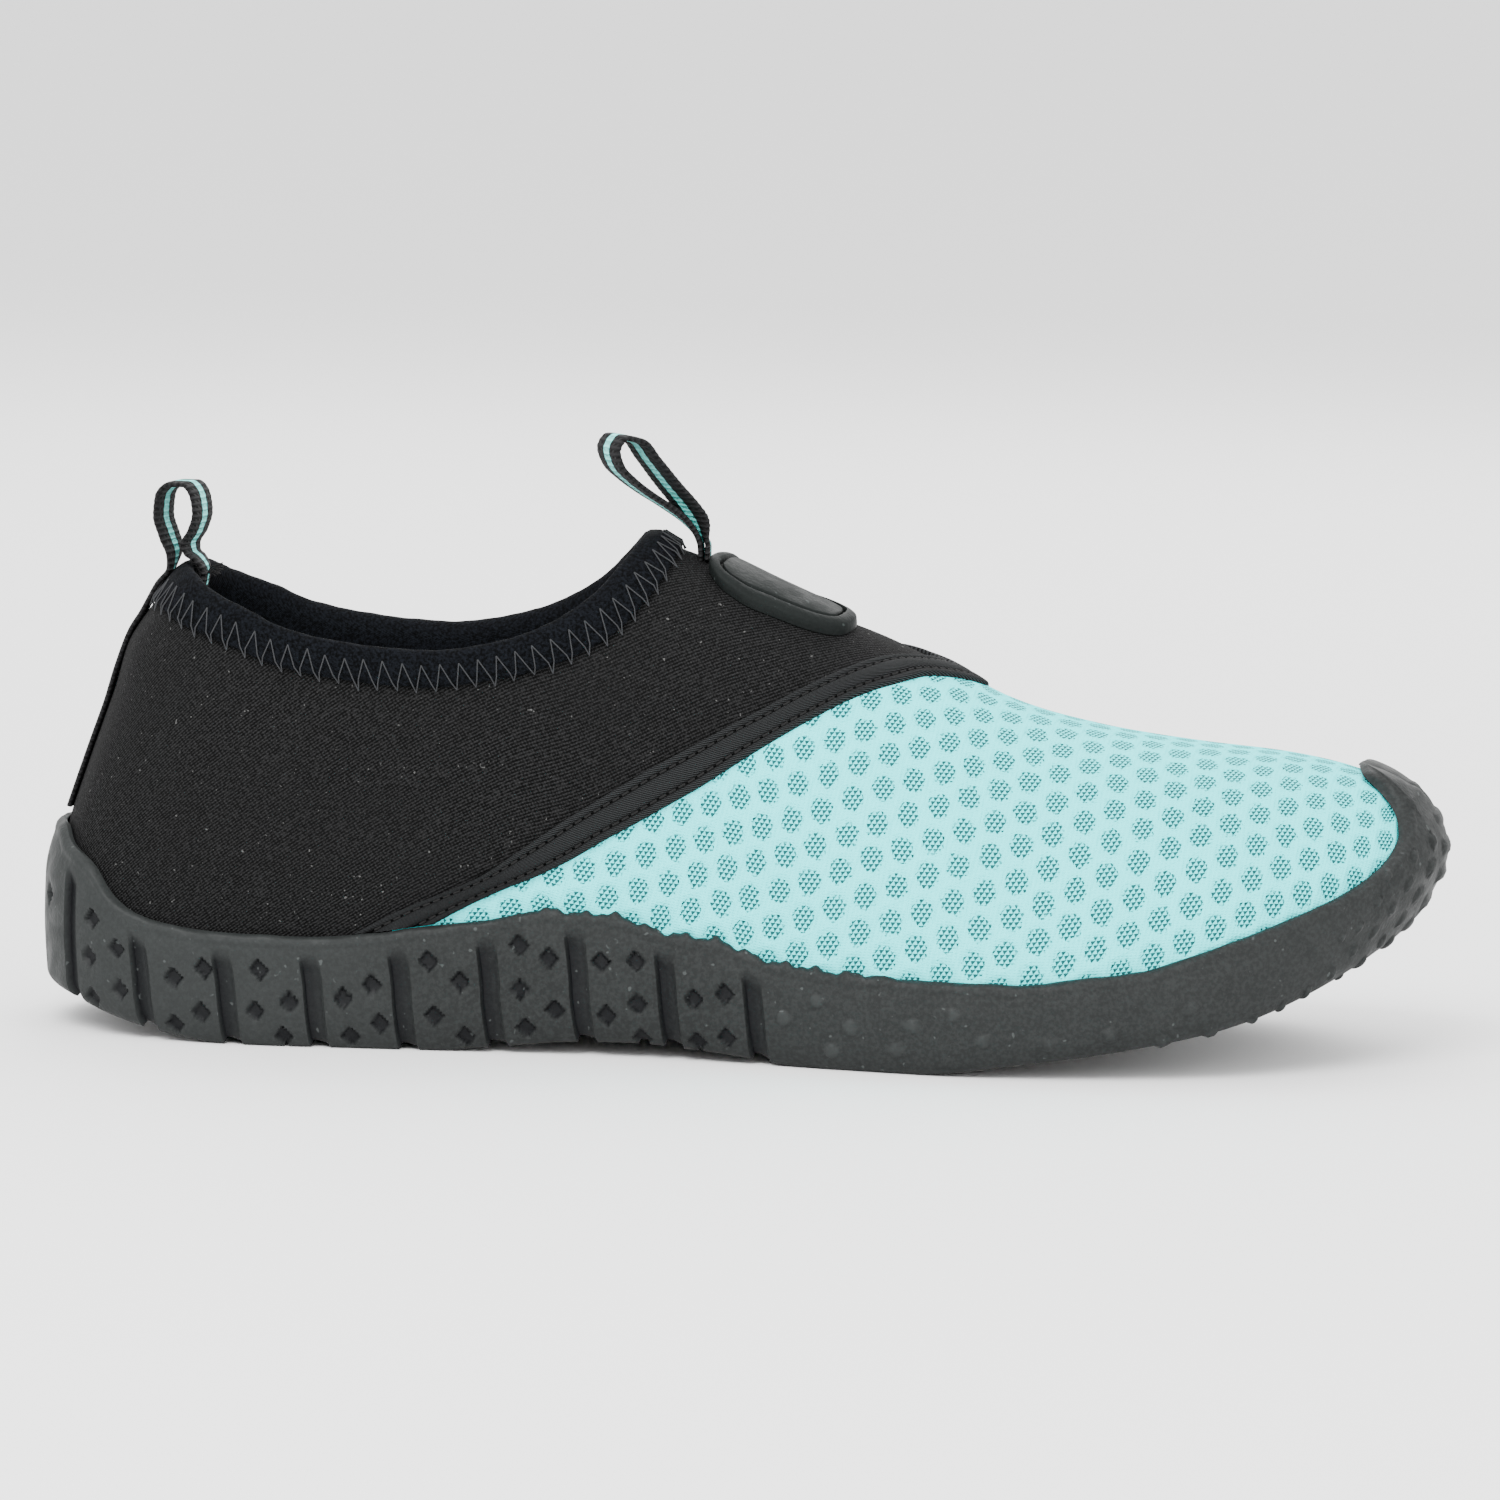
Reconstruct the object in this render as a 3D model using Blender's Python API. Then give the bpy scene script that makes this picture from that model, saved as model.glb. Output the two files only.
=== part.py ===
"""A slip-on water shoe for the right foot: cup sole, hollow upper, collar binding, tapes and badge.

Run it with blender --background --python part.py, or from Blender's text editor.

Everything is in metres. X runs from the heel to the toe, the outer side of the foot is at -Y and Z is
up. The origin is on the floor under the middle of the shoe's box.

One function, last_point, holds the form of the foot. Every piece reads it, so a piece that lies on
another keeps its gap when a size changes.
"""

import math
from bisect import bisect_right
from collections import namedtuple

import bmesh
import bpy
from mathutils import Matrix, Vector

# Driving sizes of the shoe
LENGTH = 0.262
BALL_WIDTH = 0.095
INSTEP_HEIGHT = 0.092
TOE_SPRING = 0.024
HEEL_BEVEL = 0.008
HEEL_LEAN = 0.0233
TOE_UNDERCUT = 0.0085

# Walls, layers and the air between pieces
GAP = 0.0003
LAID_GAP = 0.0004
TOE_CLEARANCE = 0.0005
NEOPRENE = 0.0030
MESH_KNIT = 0.0022
RUBBER_WALL = 0.0027
RUBBER_RIM = 0.0016
SOLE_THICKNESS = 0.0095
INSOLE_THICKNESS = 0.0035
TREAD_EDGE = 0.0022

# The collar's folded binding
BINDING_BAND = 0.0072
BINDING_CLOTH = 0.0013
BINDING_PUFF = 0.0005
BINDING_TOP = 0.0019

# Woven tapes and the badge
SEAM_TAPE_THICKNESS = 0.0009
SEAM_END_CLEAR = 0.0012
PULL_TAPE_WIDTH = 0.0100
PULL_TAPE_THICKNESS = 0.0011
PULL_TAPE_STAND = 0.0026
HEEL_TAPE_CLEAR = 0.0024
BADGE_LENGTH = 0.0300
BADGE_WIDTH = 0.0254
BADGE_PLATE = 0.0016
BADGE_RIM = 0.0026
BADGE_RIM_WIDTH = 0.0022
BADGE_SLOPE = 0.86
BADGE_GAP = 0.0006

# Grooves of the sole
GROOVE_PITCH = 0.0164
GROOVE_WIDTH = 0.0032
GROOVE_DEPTH = 0.0013
GROOVE_LEAN = math.radians(8.5)
GROOVES_EACH_SIDE = 9
FIRST_GROOVE = 0.0222
GROOVE_BELOW_RIM = 0.0040
CHANNEL_DEPTH = 0.0018
FOREFOOT_CHANNELS = 5
FOREFOOT_MARGIN = 0.012

# How finely the forms are cut into facets
COLLAR_STATIONS = 20
VAMP_STATIONS = 16
TOE_STATIONS = 5
WALL_COLUMNS = 10
RUBBER_COLUMNS = 5
ACROSS = 4
WELD = 1e-6
WELD_SHARE = 0.01

# The foot in plan. Shares of the last's length and of BALL_WIDTH.
Plan = namedtuple("Plan", "along centre half")
PLAN = (
    Plan(0.000, 0.000, 0.000),
    Plan(0.016, 0.000, 0.168),
    Plan(0.053, 0.000, 0.253),
    Plan(0.107, 0.000, 0.303),
    Plan(0.184, 0.000, 0.321),
    Plan(0.300, -0.008, 0.314),
    Plan(0.398, -0.021, 0.311),
    Plan(0.496, -0.029, 0.345),
    Plan(0.613, -0.026, 0.416),
    Plan(0.684, -0.021, 0.453),
    Plan(0.746, -0.013, 0.461),
    Plan(0.823, 0.003, 0.442),
    Plan(0.898, 0.024, 0.379),
    Plan(0.955, 0.034, 0.281),
    Plan(0.985, 0.034, 0.166),
    Plan(1.000, 0.042, 0.000),
)

# The sole from the side. Shares of TOE_SPRING, HEEL_BEVEL and SOLE_THICKNESS.
Tread = namedtuple("Tread", "along spring bevel thickness")
TREAD = (
    Tread(0.000, 0.000, 1.000, 1.00),
    Tread(0.016, 0.000, 0.820, 1.00),
    Tread(0.053, 0.000, 0.420, 1.00),
    Tread(0.085, 0.000, 0.190, 1.00),
    Tread(0.135, 0.000, 0.000, 1.00),
    Tread(0.280, 0.000, 0.000, 1.00),
    Tread(0.335, 0.050, 0.000, 0.97),
    Tread(0.385, 0.100, 0.000, 0.93),
    Tread(0.430, 0.108, 0.000, 0.89),
    Tread(0.480, 0.075, 0.000, 0.83),
    Tread(0.555, 0.000, 0.000, 0.74),
    Tread(0.630, 0.000, 0.000, 0.69),
    Tread(0.695, 0.090, 0.000, 0.68),
    Tread(0.750, 0.180, 0.000, 0.68),
    Tread(0.810, 0.296, 0.000, 0.67),
    Tread(0.865, 0.425, 0.000, 0.63),
    Tread(0.922, 0.617, 0.000, 0.58),
    Tread(0.955, 0.758, 0.000, 0.54),
    Tread(0.975, 0.858, 0.000, 0.50),
    Tread(1.000, 1.000, 0.000, 0.47),
)

# The rows of TREAD between which the sole rests flat under the ball of the foot
FOREFOOT_REST = TREAD[10:12]

# The sole's lower edge in section: inset as a share of TREAD_EDGE, and share of the way up to the wall
TREAD_ROUND = ((1.0, 0.0), (0.35, 0.18), (0.0, 0.55))

# The ridge of the instep, and how square a section is. Over the collar the ridge is only a guide.
Ridge = namedtuple("Ridge", "along height square")
RIDGE = (
    Ridge(0.000, 1.130, 3.00),
    Ridge(0.150, 1.150, 3.00),
    Ridge(0.250, 1.140, 3.00),
    Ridge(0.330, 1.098, 3.00),
    Ridge(0.385, 1.038, 2.80),
    Ridge(0.433, 1.000, 2.50),
    Ridge(0.484, 0.952, 2.20),
    Ridge(0.523, 0.904, 2.05),
    Ridge(0.562, 0.858, 2.00),
    Ridge(0.600, 0.818, 2.00),
    Ridge(0.630, 0.780, 2.00),
    Ridge(0.660, 0.742, 2.00),
    Ridge(0.690, 0.702, 2.05),
    Ridge(0.720, 0.674, 2.10),
    Ridge(0.750, 0.654, 2.15),
    Ridge(0.777, 0.639, 2.20),
    Ridge(0.836, 0.616, 2.30),
    Ridge(0.895, 0.599, 2.40),
    Ridge(0.930, 0.584, 2.40),
    Ridge(0.953, 0.570, 2.40),
    Ridge(0.975, 0.550, 2.40),
    Ridge(0.990, 0.524, 2.40),
    Ridge(1.000, 0.485, 2.40),
)

# Heights of lines that run round the shoe, as shares of INSTEP_HEIGHT.
Line = namedtuple("Line", "along height")
COLLAR = (
    Line(0.000, 0.908),
    Line(0.014, 0.902),
    Line(0.059, 0.870),
    Line(0.107, 0.838),
    Line(0.147, 0.806),
    Line(0.193, 0.785),
    Line(0.236, 0.774),
    Line(0.270, 0.771),
    Line(0.310, 0.785),
    Line(0.347, 0.812),
    Line(0.384, 0.864),
    Line(0.401, 0.902),
    Line(0.414, 0.943),
    Line(0.424, 0.978),
    Line(0.450, 1.110),
    Line(0.500, 1.500),
)
RIM = (
    Line(0.000, 0.405),
    Line(0.006, 0.404),
    Line(0.015, 0.375),
    Line(0.035, 0.337),
    Line(0.052, 0.278),
    Line(0.066, 0.252),
    Line(0.085, 0.237),
    Line(0.130, 0.223),
    Line(0.188, 0.220),
    Line(0.233, 0.228),
    Line(0.279, 0.248),
    Line(0.331, 0.268),
    Line(0.361, 0.288),
    Line(0.414, 0.280),
    Line(0.453, 0.250),
    Line(0.485, 0.246),
    Line(0.506, 0.220),
    Line(0.557, 0.196),
    Line(0.636, 0.185),
    Line(0.701, 0.184),
    Line(0.740, 0.199),
    Line(0.784, 0.214),
    Line(0.817, 0.241),
    Line(0.853, 0.273),
    Line(0.890, 0.314),
    Line(0.925, 0.363),
    Line(0.947, 0.404),
    Line(0.961, 0.447),
    Line(0.975, 0.495),
    Line(0.984, 0.522),
    Line(1.000, 0.560),
)

# Where the collar's edge starts to climb to its front and where it is steep, and a band's slant there
COLLAR_RISE = 0.30
COLLAR_STEEP = 0.40
COLLAR_SLANT = 0.65

# The heel's back line and the toe's front line. Heights are shares of INSTEP_HEIGHT, the shift towards
# the middle of the shoe is a share of HEEL_LEAN or of TOE_UNDERCUT.
Profile = namedtuple("Profile", "height shift")
HEEL_LINE = (
    Profile(0.00, 0.06),
    Profile(0.09, 0.03),
    Profile(0.22, 0.00),
    Profile(0.30, 0.00),
    Profile(0.41, 0.07),
    Profile(0.50, 0.18),
    Profile(0.62, 0.34),
    Profile(0.68, 0.42),
    Profile(0.77, 0.52),
    Profile(0.83, 0.66),
    Profile(0.88, 0.83),
    Profile(0.93, 1.00),
    Profile(1.03, 1.20),
    Profile(1.20, 1.42),
)
TOE_LINE = (
    Profile(0.00, 2.35),
    Profile(0.22, 1.00),
    Profile(0.26, 0.78),
    Profile(0.30, 0.47),
    Profile(0.34, 0.26),
    Profile(0.38, 0.06),
    Profile(0.41, 0.00),
    Profile(0.45, 0.06),
    Profile(0.48, 0.21),
    Profile(0.52, 0.38),
    Profile(0.59, 0.53),
    Profile(1.20, 0.60),
)

# The seam tape, from the sole (round 1) over the ridge (round 0): places of its two edges along the last.
Seam = namedtuple("Seam", "round front back")
SEAM = (
    Seam(0.00, 0.674, 0.637),
    Seam(0.08, 0.655, 0.624),
    Seam(0.17, 0.631, 0.604),
    Seam(0.26, 0.611, 0.581),
    Seam(0.38, 0.574, 0.547),
    Seam(0.55, 0.519, 0.494),
    Seam(0.71, 0.466, 0.436),
    Seam(0.84, 0.409, 0.377),
    Seam(0.92, 0.355, 0.322),
    Seam(0.96, 0.292, 0.252),
    Seam(1.00, 0.225, 0.175),
)

# The badge's half outline, from its top edge down the instep. Shares of its length and half width.
Shield = namedtuple("Shield", "down half")
SHIELD = (
    Shield(0.00, 0.70),
    Shield(0.03, 0.82),
    Shield(0.08, 0.93),
    Shield(0.17, 1.00),
    Shield(0.29, 0.99),
    Shield(0.51, 0.82),
    Shield(0.74, 0.65),
    Shield(0.92, 0.44),
    Shield(0.98, 0.28),
    Shield(1.00, 0.10),
)
BADGE_START = 0.479
BADGE_OFFSET = 0.0019
BADGE_TURN = math.radians(16)

# Each loop's side view, as shares of its height and turned about its foot: forward and up.
LoopPoint = namedtuple("LoopPoint", "forward up")
HEEL_LOOP_HEIGHT = 0.0165
HEEL_LOOP_YAW = math.radians(14)
HEEL_LOOP = (
    LoopPoint(-0.18, 0.13),
    LoopPoint(-0.24, 0.32),
    LoopPoint(-0.31, 0.56),
    LoopPoint(-0.29, 0.78),
    LoopPoint(-0.16, 0.91),
    LoopPoint(-0.01, 0.91),
    LoopPoint(0.10, 0.78),
    LoopPoint(0.13, 0.58),
    LoopPoint(0.08, 0.39),
    LoopPoint(0.00, 0.23),
    LoopPoint(0.02, 0.14),
    LoopPoint(0.11, 0.06),
    LoopPoint(0.18, -0.07),
)
INSTEP_LOOP_LENGTH = 0.0240
INSTEP_LOOP_STAND = 0.0019
INSTEP_LOOP_YAW = math.radians(-14)
INSTEP_LOOP = (
    LoopPoint(0.00, 0.02),
    LoopPoint(-0.03, 0.17),
    LoopPoint(-0.11, 0.34),
    LoopPoint(-0.23, 0.51),
    LoopPoint(-0.41, 0.71),
    LoopPoint(-0.56, 0.81),
    LoopPoint(-0.68, 0.80),
    LoopPoint(-0.73, 0.71),
    LoopPoint(-0.70, 0.61),
    LoopPoint(-0.61, 0.50),
    LoopPoint(-0.49, 0.41),
    LoopPoint(-0.33, 0.33),
    LoopPoint(-0.17, 0.25),
    LoopPoint(-0.09, 0.16),
    LoopPoint(-0.07, 0.02),
)

# Zones of the last where the lift of a layer turns from sideways to fore and aft
HEEL_ZONE = 0.12
TOE_ZONE = 0.30
HEEL_FADE = 0.40
TOE_FADE = 0.20

# How far the sections near the toe bow back over the ridge, and the stretch where they do
TOE_BOW = 0.035
BOW_START = 0.90
BOW_FULL = 0.988

RIGHT_ANGLE = math.pi / 2
LAST_START = RUBBER_WALL + GAP
LAST_LENGTH = LENGTH - 2 * LAST_START


def nose_angle(share):
    """Angle that stands for a share of a length, so that both ends of a form come out round."""
    return math.acos(1 - 2 * min(1.0, max(0.0, share)))


def end_slope(places, values, index):
    """Slope of a table at a row, kept from overshooting, so that a flat stretch stays flat."""
    last = len(places) - 1
    if index in (0, last):
        near = min(index, last - 1)
        return (values[near + 1] - values[near]) / (places[near + 1] - places[near])
    before = places[index] - places[index - 1]
    after = places[index + 1] - places[index]
    slope_before = (values[index] - values[index - 1]) / before
    slope_after = (values[index + 1] - values[index]) / after
    if slope_before * slope_after <= 0:
        return 0.0
    weight_before = 2 * after + before
    weight_after = after + 2 * before
    return (weight_before + weight_after) / (weight_before / slope_before + weight_after / slope_after)


def smooth(places, values, at):
    """Smooth value between the rows of a table."""
    if at <= places[0]:
        return values[0]
    if at >= places[-1]:
        return values[-1]
    row = bisect_right(places, at) - 1
    span = places[row + 1] - places[row]
    part = (at - places[row]) / span
    start = end_slope(places, values, row) * span
    end = end_slope(places, values, row + 1) * span
    square = part * part
    cube = square * part
    from_start = (2 * cube - 3 * square + 1) * values[row] + (cube - 2 * square + part) * start
    from_end = (3 * square - 2 * cube) * values[row + 1] + (cube - square) * end
    return from_start + from_end


def read(table, column, along):
    """Column of a table that runs along the shoe."""
    return smooth([nose_angle(row.along) for row in table], [getattr(row, column) for row in table],
                  nose_angle(along))


def read_plain(table, key, column, at):
    """Column of a table that is read by another of its columns."""
    return smooth([getattr(row, key) for row in table], [getattr(row, column) for row in table], at)


def tread_height(along):
    """Height of the sole's underside."""
    return TOE_SPRING * read(TREAD, "spring", along) + HEEL_BEVEL * read(TREAD, "bevel", along)


def bed_height(along):
    """Height of the footbed, the floor of the sole's cup."""
    return TOE_SPRING * read(TREAD, "spring", along) + SOLE_THICKNESS * read(TREAD, "thickness", along)


def ridge_height(along):
    return INSTEP_HEIGHT * read(RIDGE, "height", along)


def heel_shift(height):
    return HEEL_LEAN * read_plain(HEEL_LINE, "height", "shift", height / INSTEP_HEIGHT)


def toe_shift(height):
    return TOE_UNDERCUT * read_plain(TOE_LINE, "height", "shift", height / INSTEP_HEIGHT)


def end_turn(along):
    """How far a layer's lift points to the heel and to the toe, from 0 to 1."""
    heel = max(0.0, 1 - along / HEEL_ZONE)
    toe = max(0.0, 1 - (1 - along) / TOE_ZONE)
    return heel, toe


def outline(along, side, lift=0.0):
    """Point of the plan outline at the widest level; side is -1 for lateral and 1 for medial."""
    heel, toe = end_turn(along)
    half = BALL_WIDTH * read(PLAN, "half", along) + lift * math.sqrt(1 - max(heel, toe) ** 2)
    return (LAST_START + LAST_LENGTH * along + lift * (toe - heel),
            BALL_WIDTH * read(PLAN, "centre", along) + side * half)


def widest(side):
    """Furthest reach of the sole to one side."""
    steps = 200
    return max(side * outline(step / steps, side, RUBBER_WALL + GAP)[1] for step in range(steps + 1))


CENTRE_X = LENGTH / 2
CENTRE_Y = (widest(1) - widest(-1)) / 2


def lean(along, height):
    """Shift along the shoe that gives the heel and toe their side profiles."""
    heel = max(0.0, 1 - along / HEEL_FADE) ** 2
    toe = max(0.0, 1 - (1 - along) / TOE_FADE) ** 2
    return heel_shift(height) * heel - toe_shift(height) * toe


def last_point(along, around, lift=0.0):
    """Point of the upper's outer face.

    along runs from the heel 0 to the toe 1. around runs from the lateral footbed edge -1 over the
    ridge 0 to the medial edge 1. lift moves the point off the face, and a negative one into the wall.
    """
    square = read(RIDGE, "square", along)
    bed = bed_height(along) + GAP
    angle = min(1.0, abs(around)) * RIGHT_ANGLE
    x, edge = outline(along, math.copysign(1.0, around), lift)
    middle = BALL_WIDTH * read(PLAN, "centre", along)
    height = bed + (ridge_height(along) + lift - bed) * max(0.0, math.cos(angle)) ** (2 / square)
    y = middle + (edge - middle) * math.sin(angle) ** (2 / square)
    return Vector((x + lean(along, height) - CENTRE_X, y - CENTRE_Y, height))


def toe_bow(along):
    """How far a section near the toe bows back on the ridge, as a share of the last's length."""
    if along < BOW_FULL:
        return TOE_BOW * max(0.0, (along - BOW_START) / (BOW_FULL - BOW_START)) ** 2
    return TOE_BOW * (1 - along) / (1 - BOW_FULL)


def section_point(along, around, lift=0.0):
    """Point of a bowed section: the toe bumper's edge sits further back on the ridge than at its sides."""
    return last_point(along - toe_bow(along) * (1 - around * around) ** 8, around, lift)


def around_at(along, height):
    """Place around the section where the outer face has a height; 0 where the height is over the ridge."""
    bed = bed_height(along) + GAP
    share = (height - bed) / (ridge_height(along) - bed)
    if share >= 1:
        return 0.0
    square = read(RIDGE, "square", along)
    return math.acos(max(0.0, share) ** (square / 2)) / RIGHT_ANGLE


def collar_height(along, drop=0.0):
    """Height of the collar's edge, or of a line that lies a drop away from it, round its front too."""
    turn = min(1.0, max(0.0, (along - COLLAR_RISE) / (COLLAR_STEEP - COLLAR_RISE)))
    back = along - COLLAR_SLANT * turn * drop / LAST_LENGTH
    return INSTEP_HEIGHT * read(COLLAR, "height", back) - drop


def rim_height(along):
    return INSTEP_HEIGHT * read(RIM, "height", along)


def meets_ridge(height_line, low, high):
    """Place along the shoe where a rising line reaches the ridge."""
    for _ in range(40):
        middle = (low + high) / 2
        if height_line(middle) < ridge_height(middle):
            low = middle
        else:
            high = middle
    return (low + high) / 2


COLLAR_FRONT = meets_ridge(collar_height, 0.36, 0.55)
BUMPER_BACK = meets_ridge(rim_height, 0.90, 0.999)


def eased(start, end, count, ease_end=True):
    """Places from start to end, close together at the start, and at the end too if asked."""
    places = []
    for step in range(count + 1):
        part = step / count
        share = (1 - math.cos(math.pi * part)) / 2 if ease_end else 1 - math.cos(RIGHT_ANGLE * part)
        places.append(start + (end - start) * share)
    return places


def stations():
    """Sections of the shoe, with one at the front of the collar and one at the back of the bumper."""
    collar = eased(0.0, COLLAR_FRONT, COLLAR_STATIONS)
    vamp = [COLLAR_FRONT + BUMPER_BACK - place
            for place in reversed(eased(COLLAR_FRONT, BUMPER_BACK, VAMP_STATIONS, ease_end=False))]
    toe = [BUMPER_BACK + 1 - place
           for place in reversed(eased(BUMPER_BACK, 1.0, TOE_STATIONS, ease_end=False))]
    return sorted(collar + vamp[1:] + toe[1:] + [row.along for row in FOREFOOT_REST])


STATIONS = stations()


def add_grid(mesh, rows, around=False):
    """Adds a sheet of quads through rows of points; around joins the last row to the first."""
    vertices = [[mesh.verts.new(point) for point in row] for row in rows]
    pairs = list(zip(vertices, vertices[1:]))
    if around:
        pairs.append((vertices[-1], vertices[0]))
    for row, following in pairs:
        for index in range(len(row) - 1):
            mesh.faces.new((row[index], row[index + 1], following[index + 1], following[index]))


def finish_mesh(name, mesh, material, collection):
    """Welds the sheets of a form into one closed body of plane triangles and makes it an object."""
    bmesh.ops.remove_doubles(mesh, verts=mesh.verts, dist=WELD)
    bmesh.ops.dissolve_degenerate(mesh, edges=mesh.edges, dist=WELD)
    bmesh.ops.triangulate(mesh, faces=mesh.faces)
    bmesh.ops.recalc_face_normals(mesh, faces=mesh.faces)
    data = bpy.data.meshes.new(name)
    mesh.to_mesh(data)
    mesh.free()
    data.materials.append(material)
    part = bpy.data.objects.new(name, data)
    collection.objects.link(part)
    data.shade_smooth()
    data.set_sharp_from_angle(angle=math.radians(40))
    return part


def finish_material(name, colour, roughness, metallic=0.0):
    """A plain finish in linear colour."""
    material = bpy.data.materials.new(name)
    material.use_nodes = True
    shader = material.node_tree.nodes["Principled BSDF"]
    shader.inputs["Base Color"].default_value = (*colour, 1.0)
    shader.inputs["Roughness"].default_value = roughness
    shader.inputs["Metallic"].default_value = metallic
    material.diffuse_color = (*colour, 1.0)
    return material


def wall_places(along, edge, columns):
    """Places around one side of a section, from the footbed up to an edge."""
    return [1 - (1 - edge) * step / columns for step in range(columns + 1)]


def make_upper(material, collection):
    """Hollow upper: two skins of the last, open at the collar and over the footbed."""
    mesh = bmesh.new()

    def inner_lift(along):
        share = min(1.0, max(0.0, (along - SEAM[3].front) / (SEAM[0].front - SEAM[3].front)))
        return -(NEOPRENE + (MESH_KNIT - NEOPRENE) * share)

    for side in (-1, 1):
        outer = []
        inner = []
        for along in STATIONS:
            edge = around_at(along, collar_height(along)) if along < COLLAR_FRONT else 0.0
            places = wall_places(along, edge, WALL_COLUMNS)
            outer.append([section_point(along, side * place) for place in places])
            inner.append([section_point(along, side * place, inner_lift(along)) for place in places])
        add_grid(mesh, outer)
        add_grid(mesh, inner)
        add_grid(mesh, [[face[0], back[0]] for face, back in zip(outer, inner)])
        collar = COLLAR_STATIONS + 1
        add_grid(mesh, [[face[-1], back[-1]] for face, back in zip(outer[:collar], inner[:collar])])
    return finish_mesh("upper", mesh, material, collection)


def rubber_wall(along, side):
    """Outer and inner faces of the cup's wall at a section, each from its lower edge to the rim."""
    rim = around_at(along, rim_height(along)) if along < BUMPER_BACK else 0.0
    places = wall_places(along, rim, RUBBER_COLUMNS)
    outer = []
    inner = []
    heel, toe = end_turn(along)
    clear = GAP + TOE_CLEARANCE * toe
    for step, place in enumerate(places):
        thickness = RUBBER_WALL + (RUBBER_RIM - RUBBER_WALL) * (step / RUBBER_COLUMNS) ** 3
        outer.append(section_point(along, side * place, GAP + thickness))
        inner.append(section_point(along, side * place, clear))
    tread = tread_height(along)
    middle = Vector((outer[0].x, BALL_WIDTH * read(PLAN, "centre", along) - CENTRE_Y, 0.0))
    half = abs(outer[0].y - middle.y)

    def lower(inset, height):
        scale = max(0.0, half - inset * math.sqrt(1 - max(heel, toe) ** 2))
        shift = inset * (heel - toe) + lean(along, height) - lean(along, outer[0].z)
        return Vector((outer[0].x + shift, middle.y + side * scale, height))

    rise = outer[0].z - tread
    foot = [lower(TREAD_EDGE * inset, tread + rise * up) for inset, up in TREAD_ROUND]
    bed = inner[0].copy()
    bed.z = bed_height(along)
    return foot + outer, [bed] + inner


def make_sole_blank(material, collection):
    """Cup sole without its grooves: wall, rim, tread and footbed."""
    mesh = bmesh.new()
    edges = {}
    for side in (-1, 1):
        walls = [rubber_wall(along, side) for along in STATIONS]
        outer = [wall[0] for wall in walls]
        inner = [wall[1] for wall in walls]
        add_grid(mesh, outer)
        add_grid(mesh, inner)
        rim = COLLAR_STATIONS + VAMP_STATIONS + len(FOREFOOT_REST) + 1
        add_grid(mesh, [[face[-1], back[-1]] for face, back in zip(outer[:rim], inner[:rim])])
        edges[side] = ([row[0] for row in outer], [row[0] for row in inner])
    for layer in (0, 1):
        across = []
        for lateral, medial in zip(edges[-1][layer], edges[1][layer]):
            across.append([lateral.lerp(medial, step / ACROSS) for step in range(ACROSS + 1)])
        add_grid(mesh, across)
    return finish_mesh("outsole", mesh, material, collection)


def outline_walk(side, distance):
    """Point of the sole's outline at a distance from the heel, and the direction there."""
    steps = 1200
    walked = 0.0
    before = Vector(outline(0.0, side, GAP + RUBBER_WALL))
    for step in range(1, steps + 1):
        along = step / steps
        here = Vector(outline(along, side, GAP + RUBBER_WALL))
        walked += (here - before).length
        if walked >= distance:
            break
        before = here
    direction = (here - before).normalized()
    return along, here - Vector((CENTRE_X, CENTRE_Y)), direction


def add_cutter(name, size, place, collection):
    """A block that only cuts: the modifiers read it and nothing shows it."""
    mesh = bmesh.new()
    bmesh.ops.create_cube(mesh, size=1.0, matrix=place @ Matrix.Diagonal((*size, 1.0)))
    data = bpy.data.meshes.new(name)
    mesh.to_mesh(data)
    mesh.free()
    part = bpy.data.objects.new(name, data)
    part.hide_render = True
    part.display_type = "WIRE"
    collection.objects.link(part)


def add_side_groove(number, side, collection):
    """Cuts one groove into the side of the sole; returns its foot on the tread and the tread's height."""
    along, place, direction = outline_walk(side, FIRST_GROOVE + GROOVE_PITCH * number)
    outward = Vector((direction.y, -direction.x)) * -side
    tread = tread_height(along)
    top = rim_height(along) - GROOVE_BELOW_RIM
    tall = top - tread + 2 * CHANNEL_DEPTH
    reach = 4 * GROOVE_DEPTH
    slant = GROOVE_LEAN if number > 1 else 0.0
    centre = place + outward * (reach / 2 - GROOVE_DEPTH)
    turn = Matrix.Rotation(math.atan2(direction.y, direction.x), 4, "Z")
    tilt = Matrix.Rotation(-slant, 4, "Y")
    spot = Matrix.Translation((*centre, top - tall / 2))
    add_cutter(f"side_groove_{number + 1}_{'lateral' if side < 0 else 'medial'}",
               (GROOVE_WIDTH, reach, tall), spot @ turn @ tilt, collection)
    foot = place - outward * TREAD_EDGE
    foot.x += math.sin(slant) * tall / 2
    return Vector((*foot, tread))


def add_channel(name, lateral, medial, slope, collection):
    """Cuts a channel across the tread between two points of it."""
    run = medial - lateral
    turn = Matrix.Rotation(math.atan2(run.y, run.x), 4, "Z")
    tilt = Matrix.Rotation(slope, 4, "X")
    spot = Matrix.Translation((lateral + medial) / 2)
    add_cutter(name, (run.length, GROOVE_WIDTH, 2 * CHANNEL_DEPTH), spot @ turn @ tilt, collection)


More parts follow.
